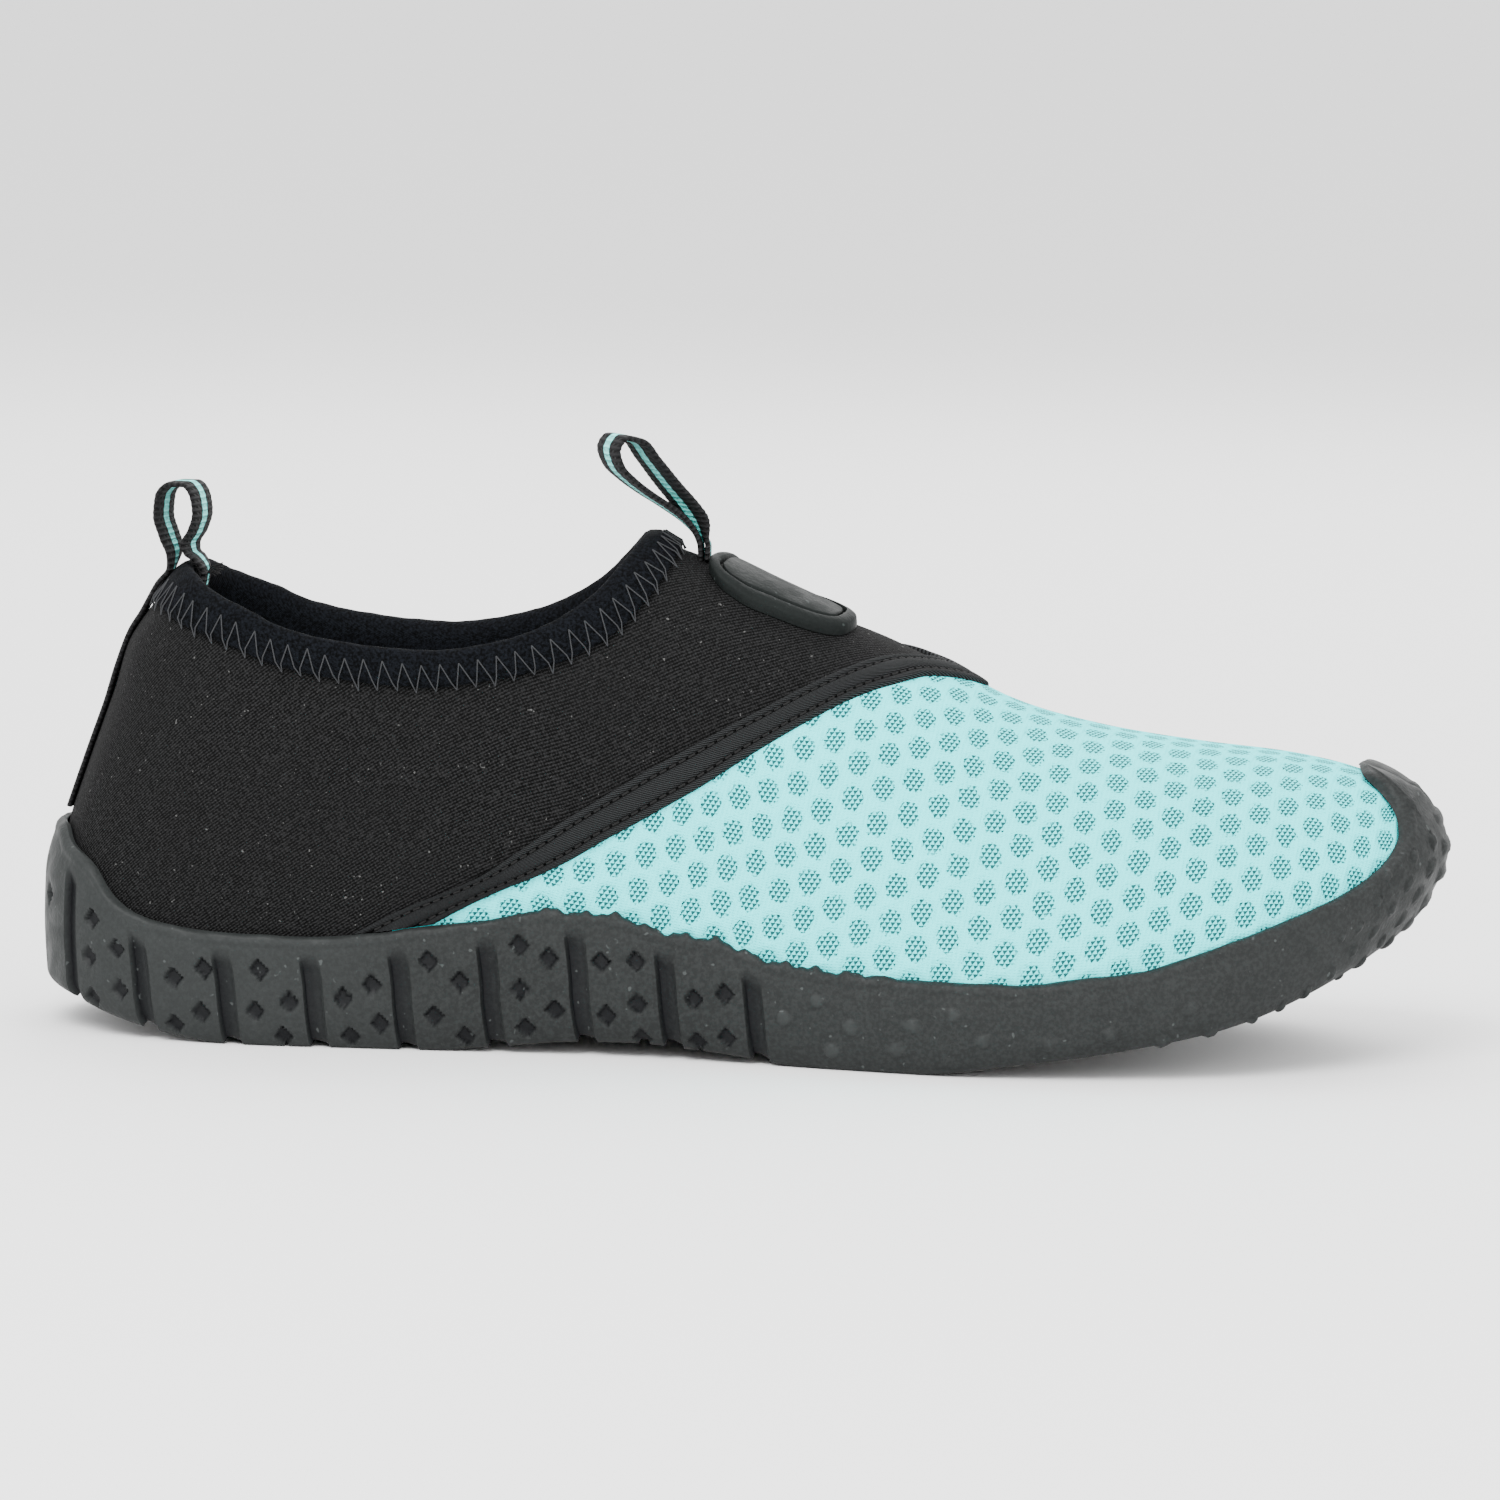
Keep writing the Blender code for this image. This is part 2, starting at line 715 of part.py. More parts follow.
def make_groove_cutters(collection):
    """Side grooves that run on across the tread from the heel to the ball, and channels under the toes."""
    overshoot = 2 * GROOVE_DEPTH
    for number in range(GROOVES_EACH_SIDE):
        lateral, medial = (add_side_groove(number, side, collection) for side in (-1, 1))
        if number > 0:
            out = (medial - lateral).normalized() * overshoot
            add_channel(f"tread_channel_{number + 1}", lateral - out, medial + out, 0.0, collection)
    for number in range(FOREFOOT_CHANNELS):
        distance = FIRST_GROOVE + GROOVE_PITCH * (GROOVES_EACH_SIDE + number)
        along = outline_walk(-1, distance)[0]
        tread = tread_height(along)
        ahead = along + GROOVE_WIDTH / LENGTH
        slope = math.atan2(tread_height(ahead) - tread, GROOVE_WIDTH)
        ends = []
        for side in (-1, 1):
            x, y = outline(along, side)
            x += lean(along, tread) - CENTRE_X
            y -= CENTRE_Y + side * FOREFOOT_MARGIN
            ends.append(Vector((x, y, tread)))
        add_channel(f"forefoot_channel_{number + 1}", ends[0], ends[1], -slope, collection)


def make_outsole(material, collection, cutters):
    """The cup sole with its side grooves and tread channels cut."""
    outsole = make_sole_blank(material, collection)
    make_groove_cutters(cutters)
    cut = outsole.modifiers.new("Grooves", "BOOLEAN")
    cut.operation = "DIFFERENCE"
    cut.operand_type = "COLLECTION"
    cut.collection = cutters
    cut.solver = "EXACT"
    return outsole


def make_insole(material, collection):
    """Foam insole that fills the floor of the upper."""
    mesh = bmesh.new()
    inset = -(NEOPRENE + 2 * GAP)
    layers = []
    chosen = [along for along in STATIONS[1:-1] if 0.012 < along < 0.985]
    for along in chosen:
        low = bed_height(along) + GAP
        rows = []
        for height in (low, low + INSOLE_THICKNESS):
            edge = around_at(along, height)
            lateral = last_point(along, -edge, inset)
            medial = last_point(along, edge, inset)
            lateral.z = medial.z = height
            rows.append([lateral.lerp(medial, step / ACROSS) for step in range(ACROSS + 1)])
        layers.append(rows)
    add_grid(mesh, [rows[0] for rows in layers])
    add_grid(mesh, [rows[1] for rows in layers])
    for end in (0, -1):
        add_grid(mesh, [[rows[0][end], rows[1][end]] for rows in layers])
        add_grid(mesh, layers[end])
    return finish_mesh("insole", mesh, material, collection)


def ring_round_collar(drop, lift):
    """Closed ring of points that lies a drop away from the collar's edge."""
    front = meets_ridge(lambda along: collar_height(along, drop), 0.36, 0.56)
    places = eased(0.0, front, COLLAR_STATIONS)
    ring = {}
    for side in (-1, 1):
        ring[side] = [last_point(along, side * around_at(along, collar_height(along, drop)), lift)
                      for along in places]
    return ring[-1] + ring[1][-2:0:-1]


def make_binding(material, collection):
    """Folded binding: a channel that sits over the collar's edge, inside and out."""
    outside = LAID_GAP
    inside = -(NEOPRENE + LAID_GAP)
    middle = -NEOPRENE / 2
    cloth = BINDING_CLOTH
    puff = BINDING_CLOTH + BINDING_PUFF
    section = (
        (BINDING_BAND, outside),
        (BINDING_BAND, outside + cloth),
        (BINDING_BAND / 2, outside + puff),
        (0.0, outside + cloth),
        (-BINDING_TOP, outside + cloth / 4),
        (-1.35 * BINDING_TOP, middle),
        (-BINDING_TOP, inside - cloth / 4),
        (0.0, inside - cloth),
        (BINDING_BAND / 2, inside - puff),
        (BINDING_BAND, inside - cloth),
        (BINDING_BAND, inside),
        (BINDING_BAND / 2, inside),
        (-BINDING_TOP / 2, inside),
        (-BINDING_TOP / 2, outside),
        (BINDING_BAND / 2, outside),
    )
    mesh = bmesh.new()
    rings = []
    for drop, lift in section:
        ring = ring_round_collar(drop, lift)
        rings.append(ring + ring[:1])
    add_grid(mesh, rings, around=True)
    return finish_mesh("collar_binding", mesh, material, collection)


def add_strip(mesh, low_rows, high_rows):
    """Adds a closed strip between the rows of its underside and of its top."""
    add_grid(mesh, low_rows)
    add_grid(mesh, high_rows)
    for end in (0, -1):
        add_grid(mesh, [[low[end], high[end]] for low, high in zip(low_rows, high_rows)])
        add_grid(mesh, [low_rows[end], high_rows[end]])


def seam_along(share, around):
    """Place along the shoe of a line on the seam tape; share runs from its front edge to its back edge."""
    front = read_plain(SEAM, "round", "front", abs(around))
    back = read_plain(SEAM, "round", "back", abs(around))
    return front + (back - front) * share


def seam_end(share):
    """Place around the shoe where a line on the seam tape comes down to the sole's rim."""
    low, high = SEAM[-4].round, 1.0
    for _ in range(30):
        middle = (low + high) / 2
        along = seam_along(share, middle)
        if last_point(along, middle).z > rim_height(along) + SEAM_END_CLEAR:
            low = middle
        else:
            high = middle
    return low


def make_seam_tape(material, collection):
    """Raised tape over the seam between neoprene and mesh, from the sole over the ridge to the sole."""
    steps = 14
    shares = [step / 3 for step in range(4)]
    ends = [seam_end(share) for share in shares]
    low_rows = []
    high_rows = []
    for step in range(-steps, steps + 1):
        places = [(seam_along(share, end * step / steps), end * step / steps)
                  for share, end in zip(shares, ends)]
        low_rows.append([last_point(*place, LAID_GAP) for place in places])
        high_rows.append([last_point(*place, LAID_GAP + SEAM_TAPE_THICKNESS) for place in places])
    mesh = bmesh.new()
    add_strip(mesh, low_rows, high_rows)
    return finish_mesh("seam_tape", mesh, material, collection)


def add_ribbon(mesh, route, widths):
    """Adds a tape of PULL_TAPE_WIDTH along a route; widths are the directions across it."""
    rows = []
    last = len(route) - 1
    for index, (point, across) in enumerate(zip(route, widths)):
        run = (route[min(last, index + 1)] - route[max(0, index - 1)]).normalized()
        normal = run.cross(across).normalized()
        side = across.normalized() * PULL_TAPE_WIDTH / 2
        half = normal * PULL_TAPE_THICKNESS / 2
        rows.append([point - side - half, point + side - half, point + side + half, point - side + half,
                     point - side - half])
    add_grid(mesh, rows)
    for row in (rows[0], rows[-1]):
        add_grid(mesh, [[row[0], row[1]], [row[3], row[2]]])


def smooth_route(points, count):
    """Even points along a smooth curve through a few points."""
    places = [0.0]
    for before, after in zip(points, points[1:]):
        places.append(places[-1] + (after - before).length)
    route = []
    for step in range(count + 1):
        at = places[-1] * step / count
        route.append(Vector([smooth(places, [point[axis] for point in points], at) for axis in range(3)]))
    return route


def heel_tape_route():
    """Side view of the heel tape: up the back of the heel, round its loop and down inside the collar."""
    off = GAP + PULL_TAPE_THICKNESS / 2
    points = []
    low = rim_height(0.0) + HEEL_TAPE_CLEAR
    high = collar_height(0.0, 1.5 * BINDING_BAND)
    for step in range(6):
        height = low + (high - low) * step / 5
        points.append(last_point(0.0, around_at(0.0, height), off + GAP))
    over = off + BINDING_CLOTH + BINDING_PUFF + 2 * GAP
    for drop in (1.1 * BINDING_BAND, 0.5 * BINDING_BAND, 0.15 * BINDING_BAND):
        points.append(last_point(0.0, around_at(0.0, collar_height(0.0, drop)), over))
    foot = last_point(0.0, around_at(0.0, collar_height(0.0, -BINDING_TOP)), 0.0)
    for spot in HEEL_LOOP:
        points.append(foot + HEEL_LOOP_HEIGHT * Vector((spot.forward, 0.0, spot.up)))
    inside = -(NEOPRENE + 2 * GAP + BINDING_CLOTH + BINDING_PUFF + off + PULL_TAPE_STAND)
    for drop in (0.0, 0.6 * BINDING_BAND, 1.2 * BINDING_BAND):
        points.append(last_point(0.0, around_at(0.0, collar_height(0.0, drop)), inside))
    return points


def loop_widths(route, foot, rise, full_yaw):
    """Directions across a tape that lies straight at its foot and turns by a yaw as it rises."""
    widths = []
    for point in route:
        share = min(1.0, max(0.0, (point.z - foot) / rise))
        yaw = full_yaw * share * share * (3 - 2 * share)
        widths.append(Vector((math.sin(yaw), math.cos(yaw), 0.0)))
    return widths


def make_heel_tape(material, collection):
    """Woven tape on the heel seam, turned over into a finger loop above the collar."""
    route = smooth_route(heel_tape_route(), 64)
    mesh = bmesh.new()
    add_ribbon(mesh, route, loop_widths(route, collar_height(0.0), 0.4 * HEEL_LOOP_HEIGHT, HEEL_LOOP_YAW))
    return finish_mesh("heel_pull_tape", mesh, material, collection)


def make_instep_loop(material, collection):
    """Finger loop at the top of the instep, its two ends held by the badge."""
    back = PULL_TAPE_THICKNESS / 2 + GAP + math.sin(BADGE_TURN) * (PULL_TAPE_WIDTH / 2 + BADGE_OFFSET)
    foot = last_point(BADGE_START - back / LAST_LENGTH, 0.0, INSTEP_LOOP_STAND)
    points = [foot + INSTEP_LOOP_LENGTH * Vector((spot.forward, 0.0, spot.up)) for spot in INSTEP_LOOP]
    route = smooth_route(points, 36)
    mesh = bmesh.new()
    add_ribbon(mesh, route, loop_widths(route, foot.z, 0.3 * INSTEP_LOOP_LENGTH, INSTEP_LOOP_YAW))
    return finish_mesh("instep_pull_loop", mesh, material, collection)


def around_for_width(along, distance):
    """Place around a section at a sideways distance from the ridge."""
    half = BALL_WIDTH * read(PLAN, "half", along)
    square = read(RIDGE, "square", along)
    return math.copysign(math.asin(min(1.0, abs(distance) / half) ** (square / 2)) / RIGHT_ANGLE, distance)


def make_badge(material, collection):
    """Rubber shield with a raised rim, bent over the instep and turned a little to the outer side."""
    down_steps = 12
    rim_share = 1 - 2 * BADGE_RIM_WIDTH / BADGE_WIDTH
    inner = [rim_share * step / 4 for step in range(-4, 5)]
    across = [-1.0, -rim_share - WELD_SHARE] + inner + [rim_share + WELD_SHARE, 1.0]
    low_rows = []
    high_rows = []
    for step in range(down_steps + 1):
        down = nose_angle(step / down_steps) / math.pi
        half = BADGE_WIDTH / 2 * read_plain(SHIELD, "down", "half", down)
        low = []
        high = []
        for share in across:
            forward = BADGE_LENGTH * BADGE_SLOPE * down
            ahead = forward * math.cos(BADGE_TURN) + share * half * math.sin(BADGE_TURN)
            aside = BADGE_OFFSET - forward * math.sin(BADGE_TURN) + share * half * math.cos(BADGE_TURN)
            along = BADGE_START + ahead / LAST_LENGTH
            around = around_for_width(along, aside)
            rim = abs(share) > rim_share or step in (0, down_steps)
            low.append(last_point(along, around, BADGE_GAP))
            high.append(last_point(along, around, BADGE_GAP + (BADGE_RIM if rim else BADGE_PLATE)))
        low_rows.append(low)
        high_rows.append(high)
    mesh = bmesh.new()
    add_strip(mesh, low_rows, high_rows)
    return finish_mesh("badge", mesh, material, collection)


def clear_scene():
    for old in list(bpy.data.objects):
        bpy.data.objects.remove(old, do_unlink=True)


def new_collection(name):
    collection = bpy.data.collections.new(name)
    bpy.context.scene.collection.children.link(collection)
    return collection


def main():
    clear_scene()
    shoe = new_collection("Water shoe")
    cutters = new_collection("Groove cutters")
    rubber = finish_material("Moulded rubber", (0.080, 0.088, 0.086), 0.62)
    neoprene = finish_material("Neoprene", (0.021, 0.021, 0.022), 0.85)
    binding = finish_material("Binding jersey", (0.009, 0.011, 0.013), 0.90)
    tape = finish_material("Woven tape", (0.030, 0.032, 0.032), 0.80)
    pull_tape = finish_material("Striped pull tape", (0.014, 0.015, 0.015), 0.85)
    badge = finish_material("Badge rubber", (0.083, 0.095, 0.095), 0.50)
    foam = finish_material("Foam insole", (0.030, 0.030, 0.032), 0.95)
    make_outsole(rubber, shoe, cutters)
    make_insole(foam, shoe)
    make_upper(neoprene, shoe)
    make_binding(binding, shoe)
    make_seam_tape(tape, shoe)
    make_heel_tape(pull_tape, shoe)
    make_instep_loop(pull_tape, shoe)
    make_badge(badge, shoe)


main()
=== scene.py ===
"""Builds the looks of a slip-on water shoe for the right foot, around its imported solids.

Every size is in metres. X runs from the heel to the toe, the outer side of the foot is at -Y and Z is up.
The tables and last_point hold the form of the foot, and every piece of the shoe is laid on it.
"""

import math

import bpy
import numpy as np
from mathutils import Matrix, Vector


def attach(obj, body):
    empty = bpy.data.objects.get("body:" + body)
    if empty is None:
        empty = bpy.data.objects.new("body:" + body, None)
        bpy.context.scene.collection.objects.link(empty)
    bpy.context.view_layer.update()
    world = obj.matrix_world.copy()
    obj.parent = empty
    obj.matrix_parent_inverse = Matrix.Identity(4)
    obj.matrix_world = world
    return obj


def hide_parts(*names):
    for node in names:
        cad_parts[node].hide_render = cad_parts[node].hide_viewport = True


bl_info = {
    "name": "Water shoe",
    "version": (1, 0, 0),
    "blender": (4, 5, 0),
    "location": "View3D > Sidebar > Shoe",
    "description": "Dresses a slip-on water shoe: rubber sole, neoprene and mesh upper, tapes and stitches",
    "category": "Add Mesh",
}

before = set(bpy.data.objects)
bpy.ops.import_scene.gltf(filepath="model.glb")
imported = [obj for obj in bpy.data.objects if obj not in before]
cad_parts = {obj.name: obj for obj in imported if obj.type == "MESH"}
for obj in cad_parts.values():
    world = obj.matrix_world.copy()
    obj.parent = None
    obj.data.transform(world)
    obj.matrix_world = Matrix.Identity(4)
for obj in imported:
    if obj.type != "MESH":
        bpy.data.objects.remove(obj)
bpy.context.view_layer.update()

# Sizes of the shoe
LENGTH = 0.262
BALL_WIDTH = 0.095
INSTEP_HEIGHT = 0.092
TOE_SPRING = 0.024
HEEL_BEVEL = 0.008
HEEL_LEAN = 0.0233
TOE_UNDERCUT = 0.0085
GAP = 0.0003
LAID_GAP = 0.0004
NEOPRENE = 0.0030
RUBBER_WALL = 0.0027
RUBBER_RIM = 0.0016
RIM_ROUND = 0.0006
SOLE_THICKNESS = 0.0095
TREAD_EDGE = 0.0022
BINDING_BAND = 0.0072
BINDING_TOP = 0.0019
BINDING_INSIDE = 0.0018
PULL_TAPE_WIDTH = 0.0100
PULL_TAPE_THICKNESS = 0.0011
PULL_TAPE_STAND = 0.0026
TAPE_RIB = 0.0011
TAPE_SIDES = 20
HEEL_TAPE_START = 0.0024
HEEL_TAPE_CUT = 0.84
BADGE_RUN = 0.0300 * 0.86
BADGE_WIDTH = 0.0254
BADGE_START = 0.479
BADGE_OFFSET = 0.0019
BADGE_TURN = math.radians(16)
GROOVE_PITCH = 0.0164
GROOVE_WIDTH = 0.0032
GROOVE_DEPTH = 0.0013
GROOVE_LEAN = math.radians(8.5)
FIRST_GROOVE = 0.0222
GROOVES = 9
GROOVE_COLUMNS = (-0.0019, -0.00135, -0.0007, 0.0, 0.0007, 0.00135, 0.0019)
FOREFOOT_CHANNELS = 5
CHANNEL_DEPTH = 0.0018
DIAMOND_LENGTH = 0.00185
DIAMOND_HEIGHT = 0.00205
DIAMOND_DEPTH = 0.00095
NUB_HEIGHT = 0.00045
HEEL_LOOP_HEIGHT = 0.0165
HEEL_LOOP_YAW = math.radians(14)
INSTEP_LOOP_LENGTH = 0.0240
INSTEP_LOOP_YAWS = (math.radians(-42), math.radians(-14))
INSTEP_LOOP_STAND = 0.0019
SEAM_THICKNESS = 0.0009
SEAM_FURROW = 0.54
STITCH = 0.0014
SEAM_STITCH_PITCH = 0.0020
SEAM_STITCH_LIFT = 0.00062
SEAM_THREAD = 0.00028
BADGE_GROOVE = 0.00235
BADGE_STITCH_PITCH = 0.0021
BADGE_STITCH_LIFT = 0.0015
BADGE_THREAD = 0.00020
COLLAR_RISE = 0.30
COLLAR_STEEP = 0.40
COLLAR_SLANT = 0.65
HEEL_ZONE = 0.12
TOE_ZONE = 0.30
HEEL_FADE = 0.40
TOE_FADE = 0.20
TOE_BOW = 0.040
BOW_START = 0.90
BOW_FULL = 0.988
RIGHT_ANGLE = math.pi / 2
LAST_START = RUBBER_WALL + GAP
LAST_LENGTH = LENGTH - 2 * LAST_START

# Rows, columns and points of the meshes
UPPER_ROWS = 56
COLLAR_COLUMNS = 90
VAMP_COLUMNS = 150
RING_COLUMNS = 150
WALL_ROWS = 64
TREAD_ROWS = 12
SEAM_COLUMNS = 240
HEEL_TAPE_POINTS = 420
INSTEP_LOOP_POINTS = 230
BADGE_POINTS = 180
BADGE_RINGS = 10

# The mesh's dots: the two steps of their pattern, their slant, and the rows and columns of their triangles
DOT_STEPS = ((0.00580, -0.00349), (-0.00095, 0.00692))
DOT_SLANT = 0.26
MARK_ROW = 0.00080
MARK_PITCH = 0.00106

# Lights: name, place, size and power in watts; their aim and the strength of the sky
LIGHTS = (
    ("key", (-0.45, -1.1, 1.35), 1.0, 41),
    ("fill", (0.9, -1.2, 0.55), 1.2, 10),
    ("back", (0.2, 1.1, 1.2), 1.4, 22),
)
LIGHTS_AIM = (0.0, 0.0, 0.04)
SKY_STRENGTH = 1.95

# The camera's angles, the height of its aim, its distance, lens and shift
CAMERA_RAISED = math.radians(7)
CAMERA_TURNED = math.radians(2)
CAMERA_ROLLED = math.radians(1.3)
CAMERA_AIM = 0.045
CAMERA_AWAY = 1.4
CAMERA_LENS = 180.1
CAMERA_SHIFT = (3 / 1500, 44 / 1500)

# The foot in plan: place along the last, then the centre line and the half width as shares of BALL_WIDTH
PLAN = (
    (0.0, 0.0, 0.0), (0.016, 0.0, 0.168), (0.053, 0.0, 0.253), (0.107, 0.0, 0.303), (0.184, 0.0, 0.321),
    (0.3, -0.008, 0.314), (0.398, -0.021, 0.311), (0.496, -0.029, 0.345), (0.613, -0.026, 0.416),
    (0.684, -0.021, 0.453), (0.746, -0.013, 0.461), (0.823, 0.003, 0.442), (0.898, 0.024, 0.379),
    (0.955, 0.034, 0.281), (0.985, 0.034, 0.166), (1.0, 0.042, 0.0),
)

# The sole from the side: place, toe spring, heel bevel and thickness
TREAD = (
    (0.0, 0.0, 1.0, 1.0), (0.016, 0.0, 0.82, 1.0), (0.053, 0.0, 0.42, 1.0), (0.085, 0.0, 0.19, 1.0),
    (0.135, 0.0, 0.0, 1.0), (0.28, 0.0, 0.0, 1.0), (0.335, 0.05, 0.0, 0.97), (0.385, 0.1, 0.0, 0.93),
    (0.43, 0.108, 0.0, 0.89), (0.48, 0.075, 0.0, 0.83), (0.555, 0.0, 0.0, 0.74), (0.63, 0.0, 0.0, 0.69),
    (0.695, 0.09, 0.0, 0.68), (0.75, 0.18, 0.0, 0.68), (0.81, 0.296, 0.0, 0.67),
    (0.865, 0.425, 0.0, 0.63), (0.922, 0.617, 0.0, 0.58), (0.955, 0.758, 0.0, 0.54),
    (0.975, 0.858, 0.0, 0.5), (1.0, 1.0, 0.0, 0.47),
)

# The ridge of the instep: place, height and how square a section is
RIDGE = (
    (0.0, 1.13, 3.0), (0.15, 1.15, 3.0), (0.25, 1.14, 3.0), (0.33, 1.098, 3.0), (0.385, 1.038, 2.8),
    (0.433, 1.0, 2.5), (0.484, 0.952, 2.2), (0.523, 0.904, 2.05), (0.562, 0.858, 2.0), (0.6, 0.818, 2.0),
    (0.63, 0.78, 2.0), (0.66, 0.742, 2.0), (0.69, 0.702, 2.05), (0.72, 0.674, 2.1), (0.75, 0.654, 2.15),
    (0.777, 0.639, 2.2), (0.836, 0.616, 2.3), (0.895, 0.599, 2.4), (0.93, 0.584, 2.4), (0.953, 0.57, 2.4),
    (0.975, 0.55, 2.4), (0.99, 0.524, 2.4), (1.0, 0.485, 2.4),
)
COLLAR = (
    (0.0, 0.908), (0.014, 0.902), (0.059, 0.87), (0.107, 0.838), (0.147, 0.806), (0.193, 0.785),
    (0.236, 0.774), (0.27, 0.771), (0.31, 0.785), (0.347, 0.812), (0.384, 0.864), (0.401, 0.902),
    (0.414, 0.943), (0.424, 0.978), (0.45, 1.11), (0.5, 1.5),
)
RIM = (
    (0.0, 0.405), (0.006, 0.404), (0.015, 0.375), (0.035, 0.337), (0.052, 0.278), (0.066, 0.252),
    (0.085, 0.237), (0.13, 0.223), (0.188, 0.22), (0.233, 0.228), (0.279, 0.248), (0.331, 0.268),
    (0.361, 0.288), (0.414, 0.28), (0.453, 0.25), (0.485, 0.246), (0.506, 0.22), (0.557, 0.196),
    (0.636, 0.185), (0.701, 0.184), (0.74, 0.199), (0.784, 0.214), (0.817, 0.241), (0.853, 0.273),
    (0.89, 0.309), (0.927, 0.35), (0.953, 0.396), (0.969, 0.442), (0.98, 0.488), (0.987, 0.52),
    (1.0, 0.56),
)

# Side profiles of the heel and the toe: height and shift
HEEL_LINE = (
    (0.0, 0.06), (0.09, 0.03), (0.22, 0.0), (0.3, 0.0), (0.41, 0.07), (0.5, 0.18), (0.62, 0.34),
    (0.68, 0.42), (0.77, 0.52), (0.83, 0.66), (0.88, 0.83), (0.93, 1.0), (1.03, 1.2), (1.2, 1.42),
)
TOE_LINE = (
    (0.0, 2.35), (0.22, 1.0), (0.26, 0.78), (0.3, 0.47), (0.34, 0.26), (0.38, 0.06), (0.41, 0.0),
    (0.45, 0.06), (0.48, 0.21), (0.52, 0.38), (0.59, 0.53), (1.2, 0.6),
)

# The seam tape from the ridge down to the sole: place around, front edge and back edge
SEAM = (
    (0.0, 0.674, 0.637), (0.08, 0.655, 0.624), (0.17, 0.631, 0.604), (0.26, 0.611, 0.581),
    (0.38, 0.574, 0.547), (0.55, 0.519, 0.494), (0.71, 0.466, 0.436), (0.84, 0.409, 0.377),
    (0.92, 0.355, 0.322), (0.96, 0.292, 0.252), (1.0, 0.225, 0.175),
)

# The badge's half outline: place down from its top edge, half width
SHIELD = (
    (0.0, 0.7), (0.03, 0.82), (0.08, 0.93), (0.17, 1.0), (0.29, 0.99), (0.51, 0.82), (0.74, 0.65),
    (0.92, 0.44), (0.98, 0.28), (1.0, 0.1),
)

# The two finger loops: forward and up, as shares of their height
HEEL_LOOP = (
    (-0.18, 0.13), (-0.24, 0.32), (-0.31, 0.56), (-0.29, 0.78), (-0.16, 0.91), (-0.01, 0.91), (0.1, 0.78),
    (0.13, 0.58), (0.08, 0.39), (0.0, 0.23), (0.02, 0.14), (0.11, 0.06), (0.18, -0.07),
)
INSTEP_LOOP = (
    (0.0, 0.02), (-0.035, 0.1), (-0.095, 0.21), (-0.19, 0.345), (-0.325, 0.5), (-0.48, 0.69),
    (-0.6, 0.83), (-0.72, 0.85), (-0.785, 0.75), (-0.745, 0.63), (-0.64, 0.525), (-0.5, 0.425),
    (-0.345, 0.33), (-0.185, 0.215), (-0.095, 0.11), (-0.056, 0.02),
)

# Diamond recesses in the sides of the sole: distance from the heel and height, both in mm
DIAMONDS = (
    (13.0, 24.5), (28.3, 21.5), (27.2, 14.4), (33.8, 16.5), (33.8, 8.8), (27.2, 6.7), (45.2, 12.0),
    (51.3, 14.0), (49.8, 5.8), (44.3, 3.2), (61.8, 14.2), (66.8, 8.4), (60.2, 6.5), (65.0, 1.8),
    (82.4, 12.0), (76.9, 9.4), (83.3, 4.8), (77.5, 2.2), (93.4, 16.7), (98.8, 13.1), (93.4, 6.6),
    (98.8, 2.8), (109.7, 12.0), (110.0, 4.8), (110.3, 20.2), (115.4, 18.0), (115.8, 8.4), (125.0, 17.6),
    (131.6, 18.0), (131.2, 10.1), (125.2, 7.7), (131.2, 3.6), (142.0, 11.6), (148.0, 12.9), (141.8, 3.6),
    (147.5, 4.7),
)

# Low round nubs of the forefoot, and the higher nubs of the toe: distance, height and size, all in mm
NUBS = (
    (158.9, 9.1, 1.5), (165.5, 12.6, 1.4), (171.5, 8.2, 1.6), (183.1, 9.1, 1.5), (167.4, 3.6, 1.5),
    (179.7, 4.6, 1.5), (196.0, 7.0, 1.4), (190.5, 11.5, 1.3),
)
TOE_NUBS = (
    (307.4, 44.1, 1.3), (306.4, 39.1, 1.5), (306.0, 34.2, 1.5), (305.0, 29.4, 1.4), (302.8, 25.4, 1.3),
    (299.0, 22.6, 1.3), (302.2, 41.0, 1.2), (301.2, 36.2, 1.3), (299.8, 31.4, 1.3), (297.4, 27.0, 1.2),
    (294.0, 23.4, 1.2), (295.6, 39.0, 1.0), (294.6, 34.0, 1.1), (291.6, 29.6, 1.1), (288.2, 25.6, 1.1),
    (287.4, 36.0, 1.0), (285.6, 31.4, 1.0), (281.4, 27.0, 1.0), (289.4, 19.8, 1.2), (282.6, 22.6, 1.1),
    (276.0, 25.4, 1.0), (283.4, 16.8, 1.2), (276.4, 18.6, 1.2), (275.0, 13.6, 1.3), (268.2, 15.4, 1.2),
    (267.0, 10.8, 1.3), (259.4, 13.0, 1.2), (258.0, 8.8, 1.3), (249.0, 10.8, 1.3), (248.0, 6.4, 1.3),
    (239.0, 9.0, 1.4), (229.0, 7.4, 1.4), (219.0, 8.6, 1.4), (208.0, 6.8, 1.4), (234.0, 13.4, 1.2),
)

# The binding from its outer band up over the fold: drop below the collar's edge and lift off the last
COLLAR_FOLD = (
    (0.0046, 0.0004), (0.0049, 0.0009), (0.0046, 0.0013), (0.004, 0.00155), (0.0032, 0.0018),
    (0.0024, 0.00205), (0.0016, 0.00215), (0.0008, 0.0021), (0.0, 0.00185), (-0.001, 0.0014),
    (-0.0018, 0.0008), (-0.0023, 0.0), (-0.00255, -0.0008),
)

# The binding's hidden back, laid on the upper's inner and outer face: drop and lift
COLLAR_SEAT = (
    (0.0024, -NEOPRENE - LAID_GAP), (-0.0009, -NEOPRENE - LAID_GAP), (-0.0009, LAID_GAP),
    (0.0024, LAID_GAP), (0.0046, LAID_GAP),
)

